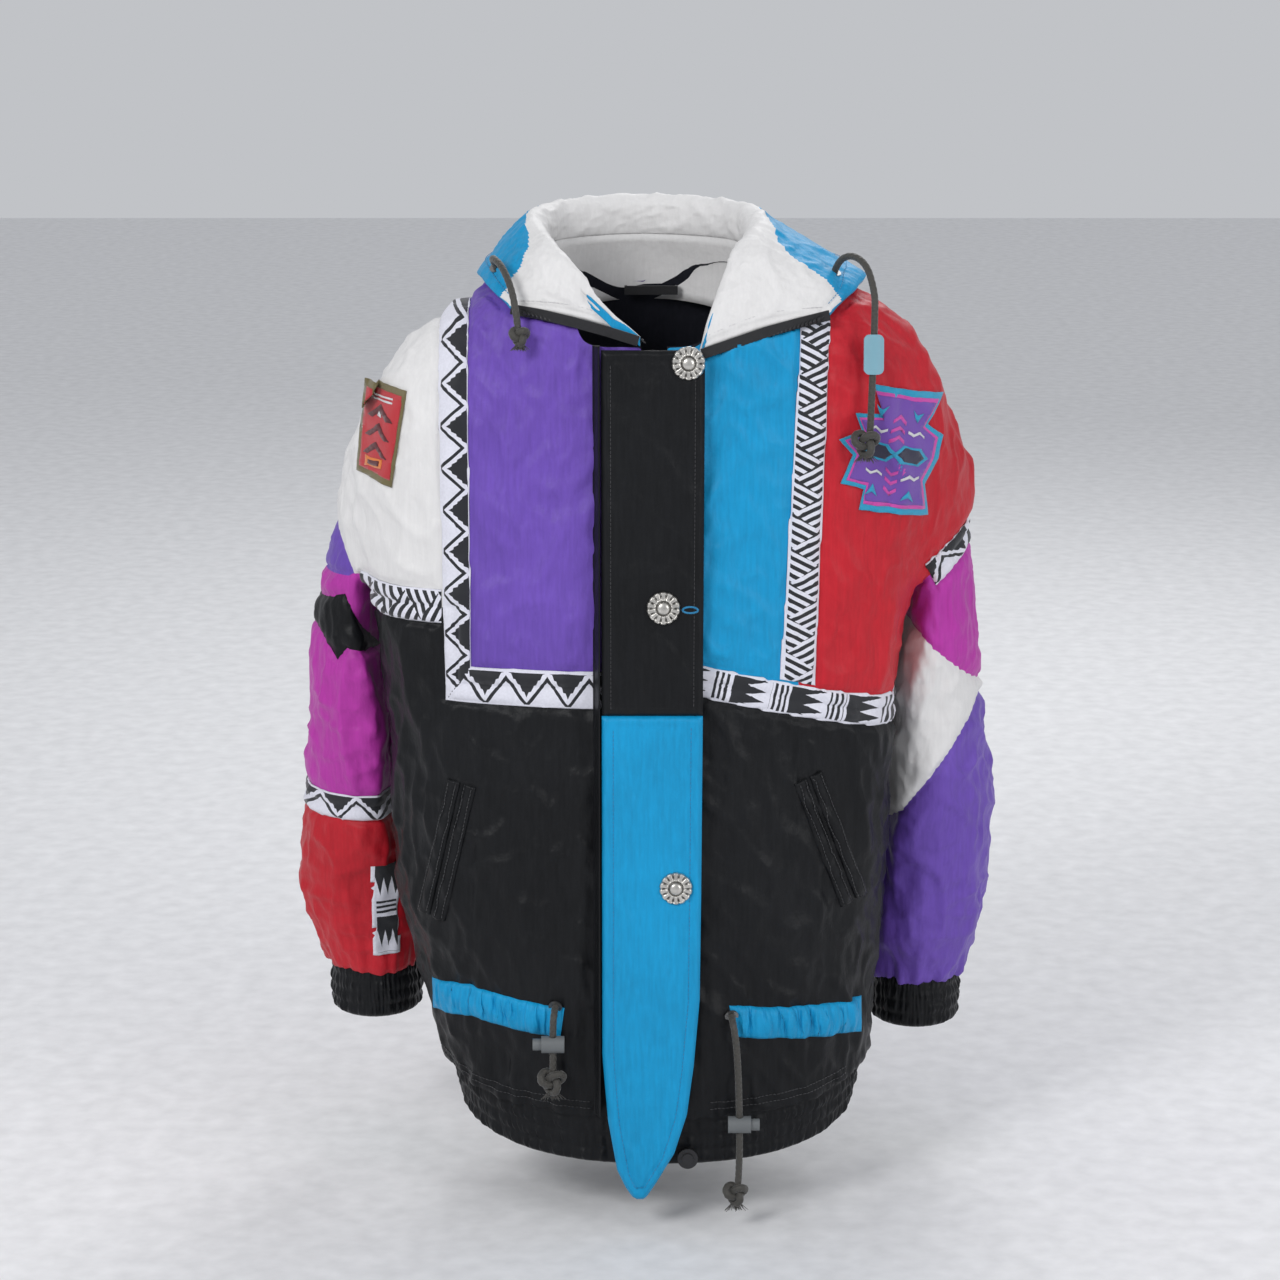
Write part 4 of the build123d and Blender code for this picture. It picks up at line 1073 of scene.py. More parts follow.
def hem_ring(share, columns):
    """One ring of the hem band, from under the shell's lower edge to the hem."""
    turns = np.linspace(0, 2 * np.pi, columns, endpoint=False)
    top, low = APRON_Z + 9.0, HEM_Z
    z = np.full(columns, top + (low - top) * share)
    for _ in range(3):
        y = torso_point(turns, z, 4.0)[:, 1]
        tilt = APRON_TILT + (HEM_TILT - APRON_TILT) * share
        z = top + (low - top) * share + tilt * y
    ring = torso_point(turns, z, 5.0 + 3.0 * share)
    out = ring - np.array([14.0, BELLY_Y, 0.0])
    out[:, 2] = 0
    return ring, out / np.linalg.norm(out, axis=1)[:, None]


def cuff_ring(side):
    x, y = SLEEVES[side][-1][1:3]
    top = SLEEVE_END[side] + 5.0

    def ring_at(share, columns):
        turns = np.linspace(0, 2 * np.pi, columns, endpoint=False)
        z = top - (CUFF_LENGTH + 5.0) * share
        swell = 2.0 * math.sin(math.pi * share)
        rx, ry = 39.0 + swell, 44.0 + swell
        out = np.stack([np.cos(turns), np.sin(turns), np.zeros(columns)], axis=1)
        return np.stack([x + rx * np.cos(turns), y + ry * np.sin(turns), np.full(columns, z)], axis=1), out
    return ring_at


LINING = nylon("taffeta_lining", (0.018, 0.019, 0.026), 0.4, 0.8, 1.3, 0.02)
lining_pieces()
hem = smocked("hem_band_gathered", hem_ring, 40, 900, 118, 2.6, 4, MATERIALS["black"], 2.0)
bm = bmesh.new()
bm.from_mesh(hem.data)
open_front = [f for f in bm.faces if abs(f.calc_center_median().x / MM - ZIP_X) < 12.0
              and f.calc_center_median().y / MM < BELLY_Y]
bmesh.ops.delete(bm, geom=open_front, context="FACES")
bm.to_mesh(hem.data)
bm.free()
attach(hem, BODY)
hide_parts("hem_band")
for side, label in ((RIGHT, "right"), (LEFT, "left")):
    cuff = smocked("cuff_gathered_" + label, cuff_ring(side), 26, 420, 46, 2.3, 4, MATERIALS["black"], 6.0)
    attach(cuff, side)
    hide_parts("cuff_" + label)


# ---------------------------------------------------------------- things laid on the shell
def on_shell(x, z, lift=0.0):
    """Place and normal on the front of the shell at x, z in mm."""
    start = Vector((x * MM, -0.4, z * MM))
    hit, normal, _, _ = shell_tree.ray_cast(start, Vector((0, 1, 0)))
    if hit is None:
        hit, normal = Vector((x, float(front_surface_y(x, z)), z)) * MM, Vector((0, -1, 0))
    if normal.y > 0:
        normal = -normal
    return np.array(hit) / MM + lift * np.array(normal), np.array(normal)


def grid_rim(columns, rows):
    """Indices round the rim of a grid, in order."""
    rim = list(range(rows))
    rim += [i * rows + rows - 1 for i in range(1, columns)]
    rim += [(columns - 1) * rows + j for j in range(rows - 2, -1, -1)]
    rim += [i * rows for i in range(columns - 2, 0, -1)]
    return rim


def face_outwards(obj):
    bm = bmesh.new()
    bm.from_mesh(obj.data)
    bmesh.ops.recalc_face_normals(bm, faces=bm.faces)
    bm.to_mesh(obj.data)
    bm.free()


def closed_pair(name, top, low, material):
    """Closed sheet between two grids of points in mm."""
    columns, rows = top.shape[:2]
    count = columns * rows
    vertices = np.concatenate([top.reshape(-1, 3), low.reshape(-1, 3)]) * MM
    faces = grid_faces(columns, rows)
    faces += [tuple(v + count for v in face[::-1]) for face in faces]
    rim = grid_rim(columns, rows)
    faces += [(a, a + count, b + count, b) for a, b in zip(rim, rim[1:] + rim[:1])]
    obj = new_object(name, vertices, faces, material)
    face_outwards(obj)
    return obj


def strip(name, left, right, rows, columns, height, material):
    """Puffed strip over the front, between two lines given as functions of a share."""
    top, low = np.zeros((columns, rows, 3)), np.zeros((columns, rows, 3))
    for i in range(columns):
        share = i / (columns - 1)
        (x0, z0), (x1, z1) = left(share), right(share)
        for j in range(rows):
            across = j / (rows - 1)
            x, z = x0 + (x1 - x0) * across, z0 + (z1 - z0) * across
            point, normal = on_shell(x, z)
            top[i, j] = point + normal * max(height(share, across, x, z), 0.15)
            low[i, j] = point - normal * 0.8
    return closed_pair(name, top, low, material)


def lerp(points, share):
    """Point at a share along a line of x, z points spaced evenly."""
    position = share * (len(points) - 1)
    i = min(int(position), len(points) - 2)
    t = position - i
    return (points[i][0] + (points[i + 1][0] - points[i][0]) * t, points[i][1] + (points[i + 1][1] - points[i][1]) * t)


def gathered_height(seed, puff):
    def height(share, across, x, z):
        dome = math.sin(math.pi * across) ** 0.45 if 0 < across < 1 else 0.0
        wave = noise.noise(Vector((x / 5.2, z / 60.0, seed))) + 0.5 * noise.noise(Vector((x / 2.6, z / 40.0, seed)))
        end = min(1.0, 14 * min(share, 1 - share) + 0.1)
        return end * (puff * dome * (1 + 0.75 * wave) + 1.6 * wave * (1 - dome))
    return height


CASINGS = {
    "right": ([(-186, -594), (-150, -590), (-108, -595), (-66, -600)], [(-186, -626), (-150, -620), (-108, -625), (-70, -628)]),
    "left": ([(78, -598), (119, -602), (160, -606), (198, -612)], [(84, -627), (122, -631), (160, -636), (198, -643)]),
}
for label, (upper, lower) in CASINGS.items():
    casing = strip("waist_casing_" + label, lambda s, u=upper: lerp(u, s), lambda s, l=lower: lerp(l, s),
                   16, 220, gathered_height(3.0 if label == "right" else 8.0, 4.6), MATERIALS["turquoise"])
    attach(casing, BODY)
    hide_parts("waist_casings")

POCKETS = {"right": [(-155, -405), (-184, -530)], "left": [(146, -400), (189, -517)]}
WELTS = ((1.2, 13.0), (-13.0, -1.2))


def beside(line, distance):
    """Line of x, z points moved sideways."""
    (x0, z0), (x1, z1) = line
    length = math.hypot(x1 - x0, z1 - z0)
    nx, nz = -(z1 - z0) / length, (x1 - x0) / length
    return [(x0 + nx * distance, z0 + nz * distance), (x1 + nx * distance, z1 + nz * distance)]


def welt_height(share, across, x, z):
    dome = math.sin(math.pi * min(max(across, 0.0), 1.0)) ** 0.4 if 0 < across < 1 else 0.0
    stitch = math.exp(-((across - 0.22) / 0.05) ** 2) + math.exp(-((across - 0.78) / 0.05) ** 2)
    return 3.4 * dome - 0.8 * stitch + 0.5 * noise.noise(Vector((x / 12, z / 12, 1.0)))


for label, line in POCKETS.items():
    for number, (near, far) in enumerate(WELTS):
        near_line, far_line = beside(line, near), beside(line, far)
        welt = strip(f"pocket_welt_{label}_{number}", lambda s, n=near_line: lerp(n, s),
                     lambda s, f=far_line: lerp(f, s), 14, 70, welt_height, MATERIALS["black"])
        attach(welt, BODY)
        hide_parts("pocket_welts")


# ---------------------------------------------------------------- collar
def collar_pieces():
    columns, rows = 260, 64
    grid, up = collar_surface(columns, rows)
    flat = grid.reshape(-1, 3)
    puffs = 1.6 * ridges(flat, 1 / 26, 21.0) + 0.9 * ridges(flat, 1 / 11, 15.0) - 1.0
    puffs = puffs.reshape(columns, rows)
    share = np.linspace(0, 1, rows)[None, :]
    ends = np.minimum(np.arange(columns), np.arange(columns)[::-1])[:, None] / columns
    rounding = 1 - np.exp(-np.minimum(share, 1 - share) * 26) - 0.7 * np.exp(-ends * 110)
    stitched = np.exp(-((1 - share) * 60 - 4.5) ** 2) + np.exp(-((ends * 330) - 4.0) ** 2)
    top = grid + up * ((puffs * rounding - 1.4 * stitched) + 0.2 - 2.2 * (1 - rounding))[..., None]
    low = grid - up * (COLLAR_THICK - 2.2 * (1 - rounding) - 0.8 * puffs * rounding)[..., None]
    count = columns * rows
    faces = grid_faces(columns, rows)
    under = [tuple(v + count for v in f[::-1]) for f in faces]
    rim = grid_rim(columns, rows)
    skirt = [(a, a + count, b + count, b) for a, b in zip(rim, rim[1:] + rim[:1])]
    border = smooth(np.arange(len(COLLAR)), BAND_START, np.linspace(0, len(COLLAR) - 1, columns))
    vertices = np.concatenate([top.reshape(-1, 3), low.reshape(-1, 3)]) * MM
    obj = new_object("collar", vertices, faces + under + skirt)
    bm = bmesh.new()
    bm.from_mesh(obj.data)
    bmesh.ops.recalc_face_normals(bm, faces=bm.faces)
    bm.faces.ensure_lookup_table()
    white = []
    for face in bm.faces:
        c = [v.index for v in face.verts]
        on_top = all(i < count for i in c)
        column, row = np.mean([i % count // rows for i in c]), np.mean([i % count % rows for i in c])
        lapel = min(column, columns - 1 - column) < 6
        if (on_top and row / (rows - 1) < border[min(int(column), columns - 1)]) or row / (rows - 1) < 0.3 or (lapel and on_top):
            white.append(face)
    for face in white:
        face.material_index = 1
    bm.to_mesh(obj.data)
    bm.free()
    shading, points = normals(obj.data), coords(obj.data)
    for name, index, colour, nodes in (("collar_facing", 1, "white", ["collar_lining", "collar_padding"]),
                                       ("collar_band", 0, "turquoise", ["collar_shell"])):
        chosen = [tuple(p.vertices) for p in obj.data.polygons if p.material_index == index]
        used = sorted({v for p in chosen for v in p})
        place = {v: i for i, v in enumerate(used)}
        part = new_object(name, points[used], [[place[v] for v in p] for p in chosen], MATERIALS[colour])
        part.data.normals_split_custom_set_from_vertices([tuple(n) for n in shading[used]])
        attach(part, BODY)
        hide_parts(*nodes)
    bpy.data.objects.remove(obj)
    return grid, up


collar_top, collar_up = collar_pieces()


def collar_stand(name, colour, beyond):
    """Strip from the collar's neck edge down into the neck opening, moved outwards by beyond."""
    columns, rows = 200, 9
    edge, up = collar_surface(columns, 12)
    outer, inner = np.zeros((columns, rows, 3)), np.zeros((columns, rows, 3))
    for i in range(columns):
        start = edge[i, 0] - up[i, 0] * 3.0
        away = np.array([(start[0] - NECK_CENTRE[0]) / NECK_R[0], (start[1] - NECK_CENTRE[1]) / NECK_R[1]])
        turn = math.atan2(away[1], away[0])
        behind = min(1.0, max(0.0, (start[1] + 95) / 40))
        ring_x = NECK_CENTRE[0] + (NECK_R[0] - 5) * math.cos(turn)
        ring_y = NECK_CENTRE[1] + (NECK_R[1] - 5) * math.sin(turn)
        end = np.array([ring_x, ring_y, 0.15 * ring_y - 22.0])
        end = start * (1 - behind) + end * behind - np.array([0, 0, 8.0 * (1 - behind)])
        out = np.array([math.cos(turn), math.sin(turn), 0.0])
        for j in range(rows):
            share = j / (rows - 1)
            point = start + (end - start) * share + out * 5.0 * math.sin(math.pi * share) * behind
            outer[i, j] = point + out * (beyond + 1.0)
            inner[i, j] = point + out * (beyond - 1.0 - 0.5 * noise.noise(Vector((i / 6.0, share * 3, 1.0))))
    stand = closed_pair(name, outer, inner, MATERIALS[colour])
    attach(stand, BODY)


collar_stand("collar_stand", "white", 0.0)
collar_stand("collar_stand_outside", "turquoise", 2.6)

# ---------------------------------------------------------------- materials of the hard pieces
def plastic(name, colour, roughness, grain=0.00005, scale=900.0, **values):
    graph = Graph(name, Roughness=roughness, **values)
    cloud = graph.noise(40.0, 3.0)
    graph.colour(graph.mix(cloud, rgba(colour, 0.85), rgba(colour, 1.15)))
    wear = graph.noise(220.0, 4.0)
    graph.put(graph.shader.inputs["Roughness"], graph.math("MULTIPLY_ADD", wear, 0.16, roughness - 0.08))
    graph.bump(graph.noise(scale, 2.0), grain, 0.6)
    return graph.material


def oxidised_metal_with_painted_shade(name, colour, dark, roughness):
    """Metal with dark oxide and painted shade in its hollows, the painted shade read from the relief attribute painted
    on the mesh.
    """
    graph = Graph(name, Metallic=1.0, Roughness=roughness)
    # painted shade: the relief attribute holds the button's painted shade, darker in its grooves and notches, and
    # darkens the colour there
    relief = graph.node("Attribute", 2)
    relief.node.attribute_name = "relief"
    patina = graph.noise(160.0, 4.0)
    share = graph.math("MULTIPLY_ADD", patina, 0.5, graph.math("MULTIPLY_ADD", relief, 1.1, -0.3))
    share = graph.math("MINIMUM", graph.math("MAXIMUM", share, 0.0), 1.0)
    graph.colour(graph.mix(share, rgba(dark), rgba(colour)))
    graph.bump(graph.noise(700.0, 3.0), 0.00005, 0.5)
    return graph.material


def webbing(name, colour, scale=700.0):
    """Ribbed narrow tape."""
    graph = Graph(name, Roughness=0.7, Sheen_Weight=0.3, Sheen_Roughness=0.5, Specular_IOR_Level=0.3)
    graph.colour(graph.mix(graph.noise(300.0, 3.0), rgba(colour, 0.7), rgba(colour, 1.5)))
    rib = graph.node("TexWave", Vector=graph.place(), Scale=scale, Distortion=0.4)
    graph.bump(rib, 0.00014, 0.7)
    return graph.material


def thread(name, colour):
    graph = Graph(name, Roughness=0.55, Sheen_Weight=0.4, Sheen_Roughness=0.4)
    graph.colour(graph.mix(graph.noise(700.0, 2.0), rgba(colour, 0.75), rgba(colour, 1.2)))
    ply = graph.node("TexWave", Vector=graph.stretched((1.0, 1.0, 1.6)), Scale=900.0)
    graph.bump(ply, 0.00008, 0.8)
    return graph.material


ZIP_PLASTIC = plastic("zip_plastic", (0.016, 0.016, 0.018), 0.38)
ENAMEL = plastic("black_enamel", (0.02, 0.02, 0.022), 0.3, Metallic=0.3)
LOCK_PLASTIC = plastic("lock_plastic", (0.13, 0.14, 0.145), 0.45)
TOGGLE_PLASTIC = plastic("toggle_plastic", (0.30, 0.58, 0.70), 0.22, Transmission_Weight=0.35, Coat_Weight=0.3)
ZIP_TAPE = webbing("zip_tape", (0.014, 0.014, 0.016))
SILVER = oxidised_metal_with_painted_shade("antique_silver", (0.66, 0.64, 0.60), (0.05, 0.048, 0.045), 0.32)
STEEL = oxidised_metal_with_painted_shade("eyelet_steel", (0.62, 0.62, 0.62), (0.30, 0.30, 0.30), 0.3)
CORD_THREAD = thread("cord_thread", (0.045, 0.042, 0.036))
THREADS = {
    "turquoise": thread("thread_turquoise", (0.004, 0.20, 0.42)),
    "black": thread("thread_black", (0.03, 0.03, 0.034)),
    "white": thread("thread_white", (0.66, 0.65, 0.66)),
}


def keep_node(node, material, bevel):
    """A CAD piece that stays: its material and softened edges."""
    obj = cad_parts[node]
    obj.data.materials.clear()
    obj.data.materials.append(material)
    if bevel:
        modifier = obj.modifiers.new("bevel", "BEVEL")
        modifier.width = bevel * MM
        modifier.segments = 3
        modifier.limit_method = "ANGLE"
        modifier.harden_normals = True


for node, material, bevel in (
        ("zip_teeth", ZIP_PLASTIC, 0.3), ("zip_tapes", ZIP_TAPE, 0.2), ("under_placket", MATERIALS["black"], 0.4),
        ("zip_slider", ENAMEL, 0.5), ("zip_pull", ENAMEL, 0.4), ("hem_button", ENAMEL, 0.6),
        ("hanger_loop", ZIP_TAPE, 0.4), ("pocket_bags", LINING, 0.0), ("collar_toggle", TOGGLE_PLASTIC, 1.6),
        ("waist_lock_right", LOCK_PLASTIC, 1.0), ("waist_lock_left", LOCK_PLASTIC, 1.0),
        ("waist_plunger_right", LOCK_PLASTIC, 0.9), ("waist_plunger_left", LOCK_PLASTIC, 0.9),
        ("eyelets", STEEL, 0.25)):
    keep_node(node, material, bevel)

# ---------------------------------------------------------------- the straight front and the storm flap
LEAN = math.hypot(1.0, FRONT_SLOPE)
OUT = np.array([0.0, -1.0 / LEAN, FRONT_SLOPE / LEAN])
UP = np.array([0.0, FRONT_SLOPE / LEAN, 1.0 / LEAN])
FLAP_LOW, FLAP_HIGH = 8.0, 15.0
HINGE_X = -33.0
FLAP_MIDDLE = (FLAP_LOW + FLAP_HIGH) / 2
SPLIT_Z, FLAP_TOP, FLAP_TIP = -340.0, -26.0, -771.5
# the flap's free edge and its hinge edge: z and x, from the tip up
FREE_EDGE = [(-772, 2), (-769, 6), (-757, 14), (-730, 30), (-695, 41), (-650, 47), (-591, 52), (-500, 53),
             (SPLIT_Z, 54), (-60, 55), (-38, 55), (-31, 52), (-27, 47), (-25, 43)]
ROOT_EDGE = [(-772, -2), (-769, -7), (-760, -13), (-745, -20), (-700, -28), (-640, HINGE_X), (-25, HINGE_X)]


def front_place(x, z, height):
    """Place in mm at a height in front of the straight closure line."""
    return np.array([x, FRONT_Y, 0.0]) + OUT * height + UP * z


def reading(edge, z):
    levels, values = zip(*edge)
    return float(np.interp(z, levels, values))


def flap_piece(name, high, low, colour, topstitch):
    """Padded half of the flap between two levels, with rolled edges and puckered faces."""
    columns, rows = 44, max(40, int((high - low) / 2.2))
    top, under = np.zeros((rows, columns, 3)), np.zeros((rows, columns, 3))
    for i in range(rows):
        z = high + (low - high) * i / (rows - 1)
        start, end = reading(ROOT_EDGE, z), reading(FREE_EDGE, z)
        for j in range(columns):
            x = start + (end - start) * (0.5 - 0.5 * math.cos(math.pi * j / (columns - 1)))
            gap = min(x - start, end - x, abs(z - high) + 0.01, abs(z - low) + 0.01)
            round_off = 1 - math.exp(-gap / 1.7)
            roll = 0.9 * math.exp(-((gap - 4.0) / 2.4) ** 2)
            groove = 1.2 * math.exp(-((gap - topstitch) / 0.9) ** 2)
            place = Vector((x / 34, z / 52, 3.0))
            fold = 1.0 - min(1.0, abs(noise.noise(place + Vector((z / 160, x / 60, 0)))) * 3.2)
            small = noise.noise(Vector((x / 9, z / 12, 8.0)))
            height = round_off * (2.5 + roll - groove + (1.7 * fold + 0.7 * small) * (1 - math.exp(-gap / 9)))
            top[i, j] = front_place(x, z, FLAP_MIDDLE + height)
            under[i, j] = front_place(x, z, FLAP_MIDDLE - round_off * (3.0 - 0.3 * small))
    obj = closed_pair(name, top, under, MATERIALS[colour])
    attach(obj, FLAP)
    return obj


upper_flap = flap_piece("flap_upper", FLAP_TOP, SPLIT_Z, "black", 8.0)
lower_flap = flap_piece("flap_lower", SPLIT_Z, FLAP_TIP, "turquoise", 10.0)
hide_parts("storm_flap_upper")
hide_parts("storm_flap_lower")
flap_tree = surface_tree(upper_flap, lower_flap)


def flap_root():
    """Folded edge of the front, in which the flap is sewn."""
    rows, columns = 9, 300
    top, under = np.zeros((columns, rows, 3)), np.zeros((columns, rows, 3))
    for i in range(columns):
        z = FLAP_TOP + 3 + (-700 - FLAP_TOP) * i / (columns - 1)
        for j in range(rows):
            share = j / (rows - 1)
            rise = share * share * (3 - 2 * share)
            x = HINGE_X - 7.5 + 6.2 * share
            pucker = 0.5 * noise.noise(Vector((x / 8, z / 8, 4.0)))
            top[i, j] = front_place(x, z, 1.0 + (FLAP_MIDDLE + 1.6) * rise + pucker)
            under[i, j] = front_place(x, z, -4.0)
    root = closed_pair("flap_root", top, under, MATERIALS["black"])
    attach(root, BODY)


flap_root()

# ---------------------------------------------------------------- buttons
BUTTONS = [(41.0, -37.0), (20.0, -246.0), (31.0, -491.0)]
BUTTON_R, BOSS_R, NOTCHES = 14.5, 5.2, 14


def concho(name, x, z):
    """Domed button: notched rays round a raised boss, on a shank."""
    rings, turns = [], np.linspace(0, 2 * np.pi, 168, endpoint=False)
    ray = np.clip(np.cos(turns * NOTCHES) * 1.6 - 0.2, 0, 1)
    levels = [(0.02, 0)] + [(r, 0) for r in np.linspace(0.8, BUTTON_R, 46)]
    heights, shade = [], []
    for r, _ in levels:
        boss = 2.0 * math.sqrt(max(0.0, 1 - (r / BOSS_R) ** 2)) if r < BOSS_R else 0.0
        collar_groove = -0.9 * math.exp(-((r - BOSS_R - 0.9) / 0.55) ** 2)
        plate = 1.9 * math.sqrt(max(0.0, 1 - (r / (BUTTON_R + 1.2)) ** 2)) + 0.9
        rim = 0.5 * math.exp(-((r - BUTTON_R + 1.3) / 0.6) ** 2)
        notch = -1.0 * ray * math.exp(-((r - 10.4) / 2.6) ** 2)
        beads = 0.35 * (0.5 + 0.5 * np.cos(turns * NOTCHES * 2)) * math.exp(-((r - 7.2) / 0.5) ** 2)
        edge = -1.4 * math.exp(-(BUTTON_R - r) / 0.35)
        relief = collar_groove + notch + beads + rim
        heights.append(FLAP_HIGH + 0.2 + boss + plate + relief + edge)
        # painted shade: darker in the groove round the boss and in the notches, from their depth
        shade.append(np.clip(0.85 + 0.75 * (collar_groove + notch), 0, 1))
        reach = r - 0.5 * ray * (r > BUTTON_R - 1.5)
        across, along = np.cos(turns) * reach, np.sin(turns) * reach
        height = heights[-1] * np.ones_like(turns)
        rings.append(np.stack([x + across, *(FRONT_Y * (k == 1) + OUT[k] * height + UP[k] * (z + along) for k in (1, 2))], 1))
    for r, height in ((BUTTON_R - 0.4, FLAP_HIGH - 0.4), (BUTTON_R - 2, FLAP_HIGH - 0.8), (2.4, FLAP_HIGH - 0.9), (2.4, 7.0)):
        across, along = np.cos(turns) * r, np.sin(turns) * r
        rings.append(np.stack([x + across, *(FRONT_Y * (k == 1) + OUT[k] * height + UP[k] * (z + along) for k in (1, 2))], 1))
        # painted shade: the rings under the plate and down the shank are half dark
        shade.append(np.full(len(turns), 0.5))
    vertices, faces = tube(rings)
    obj = new_object(name, vertices * MM, faces, SILVER)
    # the painted shade is kept in the relief attribute, which the metal's material reads
    layer = obj.data.attributes.new("relief", "FLOAT", "POINT")
    shades = [np.broadcast_to(value, len(turns)) for value in shade]
    layer.data.foreach_set("value", np.concatenate(shades).astype(float))
    face_outwards(obj)
    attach(obj, FLAP)
    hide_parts("buttons")


for number, (x, z) in enumerate(BUTTONS):
    concho(f"concho_{number}", x, z)


# ---------------------------------------------------------------- tubes along lines: cords, knots and threads
def line_frames(points):
    """Directions and two sideways axes along a line of points."""
    ways = np.gradient(points, axis=0)
    ways /= np.linalg.norm(ways, axis=1)[:, None]
    side = np.cross(ways[0], (0.31, 0.92, 0.23))
    sides = []
    for way in ways:
        side = side - way * (side @ way)
        side /= np.linalg.norm(side)
        sides.append(side)
    sides = np.array(sides)
    return ways, sides, np.cross(ways, sides)


def sweep(points, radius, columns=12, relief=None):
    """Vertices and faces of a tube along points in mm; relief(distance, turn) scales its radius."""
    points = np.asarray(points, float)
    _, side, other = line_frames(points)
    steps = np.linalg.norm(np.diff(points, axis=0), axis=1)
    distance = np.concatenate([[0], np.cumsum(steps)])
    radii = np.broadcast_to(radius, len(points))
    turns = np.linspace(0, 2 * np.pi, columns, endpoint=False)
    rings = []
    for i, point in enumerate(points):
        r = radii[i] * (relief(distance[i], turns) if relief else np.ones(columns))
        rings.append(point + side[i] * (np.cos(turns) * r)[:, None] + other[i] * (np.sin(turns) * r)[:, None])
    return tube(rings)


def several(name, parts, material):
    """One object from several vertex and face lists in mm."""
    vertices, faces, start = [], [], 0
    for points, polygons in parts:
        vertices.append(np.asarray(points) * MM)
        faces += [tuple(v + start for v in polygon) for polygon in polygons]
        start += len(points)
    obj = new_object(name, np.concatenate(vertices), faces, material)
    face_outwards(obj)
    return obj


def braid(distance, turns):
    """Plaited strands that cross in two directions."""
    a = np.sin(turns * 4 + distance * 1.15)
    b = np.sin(turns * 4 - distance * 1.15)
    return 0.93 + 0.085 * np.maximum(a, b)


CORD_D = 6.0
# Each route repeats the cord's points in part.py; then its length, and the pieces on it.
CORDS = {
    "collar_cord_right": ([(-123.5, -54, 36), (-127, -60, 44), (-125, -76, 47), (-117, -94, 42), (-109, -109, 26),
                           (-105, -117, 8), (-103, -120, -9)], 106.5, []),
    "collar_cord_left": ([(167, -57.6, 32), (170, -62, 43), (181, -73, 50), (193, -88, 43), (198.5, -100, 24),
                          (200, -105, 8), (196, -118, -98)], 194.5, ["collar_toggle"]),
    "waist_cord_right": ([(-74, -156.5, -598), (-75, -165, -602), (-76, -169.5, -611), (-76, -170.5, -655)], 63.1,
                         ["waist_lock_right", "waist_plunger_right"]),
    "waist_cord_left": ([(80, -157.5, -606), (81, -166, -610), (83, -170.5, -619), (86, -172, -650),
                         (88, -172.5, -735), (86, -172.5, -760)], 160.5, ["waist_lock_left", "waist_plunger_left"]),
}
KNOTS = {"collar_cord_right": (-102, -121, -15, 10.0), "collar_cord_left": (192, -121.5, -107, 14.0),
         "waist_cord_right": (-77, -171, -664, 14.0), "waist_cord_left": (84, -172.5, -768, 12.5)}


def spline_points(name, route):
    """Points in mm along the smooth line of a route."""
    curve = bpy.data.curves.new(name + "_line", "CURVE")
    curve.dimensions = "3D"
    spline = curve.splines.new("NURBS")
    spline.points.add(len(route) - 1)
    for point, place in zip(spline.points, route):
        point.co = (*(v * MM for v in place), 1.0)
    spline.order_u = 3
    spline.use_endpoint_u = True
    spline.resolution_u = 30
    obj = bpy.data.objects.new(name + "_line", curve)
    scene.collection.objects.link(obj)
    bpy.context.view_layer.update()
    mesh = bpy.data.meshes.new_from_object(obj.evaluated_get(bpy.context.evaluated_depsgraph_get()))
    points = coords(mesh) / MM
    bpy.data.objects.remove(obj)
    bpy.data.meshes.remove(mesh)
    return points


def even(points, step):
    """The same line, read at even steps."""
    distance = np.concatenate([[0], np.cumsum(np.linalg.norm(np.diff(points, axis=0), axis=1))])
    at = np.linspace(0, distance[-1], max(4, int(distance[-1] / step)))
    return np.stack([np.interp(at, distance, points[:, k]) for k in range(3)], axis=1)


def knot_piece(name, x, y, z, radius, seed):
    """Ball knot of the braided cord, with its frayed end hanging out."""
    turns = np.linspace(0, 2 * np.pi, 150)
    knot = np.stack([np.sin(turns) + 2 * np.sin(2 * turns), np.sin(3 * turns) * 1.1,
                     np.cos(turns) - 2 * np.cos(2 * turns)], axis=1) / 3.0
    knot = knot * (radius - 3.4) + (x, y, z + radius * 0.16)
    parts = [sweep(knot, 3.3, 14, braid)]
    for strand in range(46):
        turn, lean = strand * 2.39996, 0.25 + 0.75 * (strand % 7) / 6
        out = np.array([math.cos(turn) * lean, math.sin(turn) * lean * 0.5, -1.0])
        start = np.array([x, y, z - radius * 0.25]) + out * 2.0
        reach = radius * (0.62 + 0.22 * noise.noise(Vector((strand * 0.7, seed, 0))))
        curl = np.array([math.cos(turn * 2.3), math.sin(turn * 1.7) * 0.5, 0.0]) * 1.6
        shares = np.linspace(0, 1, 7)[:, None]
        line = start + out * reach * shares + curl * shares ** 2
        parts.append(sweep(line, np.linspace(0.5, 0.22, 7), 5))
    knot_obj = several(name, parts, CORD_THREAD)
    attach(knot_obj, BODY)
    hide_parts("cord_knots")
    return knot_obj


for number, (name, (route, length, riders)) in enumerate(CORDS.items()):
    path = spline_points(name, route)
    fine = even(path, 0.45)
    cord = several(name + "_braided", [sweep(fine, CORD_D / 2, 24, braid)], CORD_THREAD)
    knot = knot_piece(f"knot_{number}", *KNOTS[name], seed=number * 3.1)
    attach(cord, BODY)
    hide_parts(name)

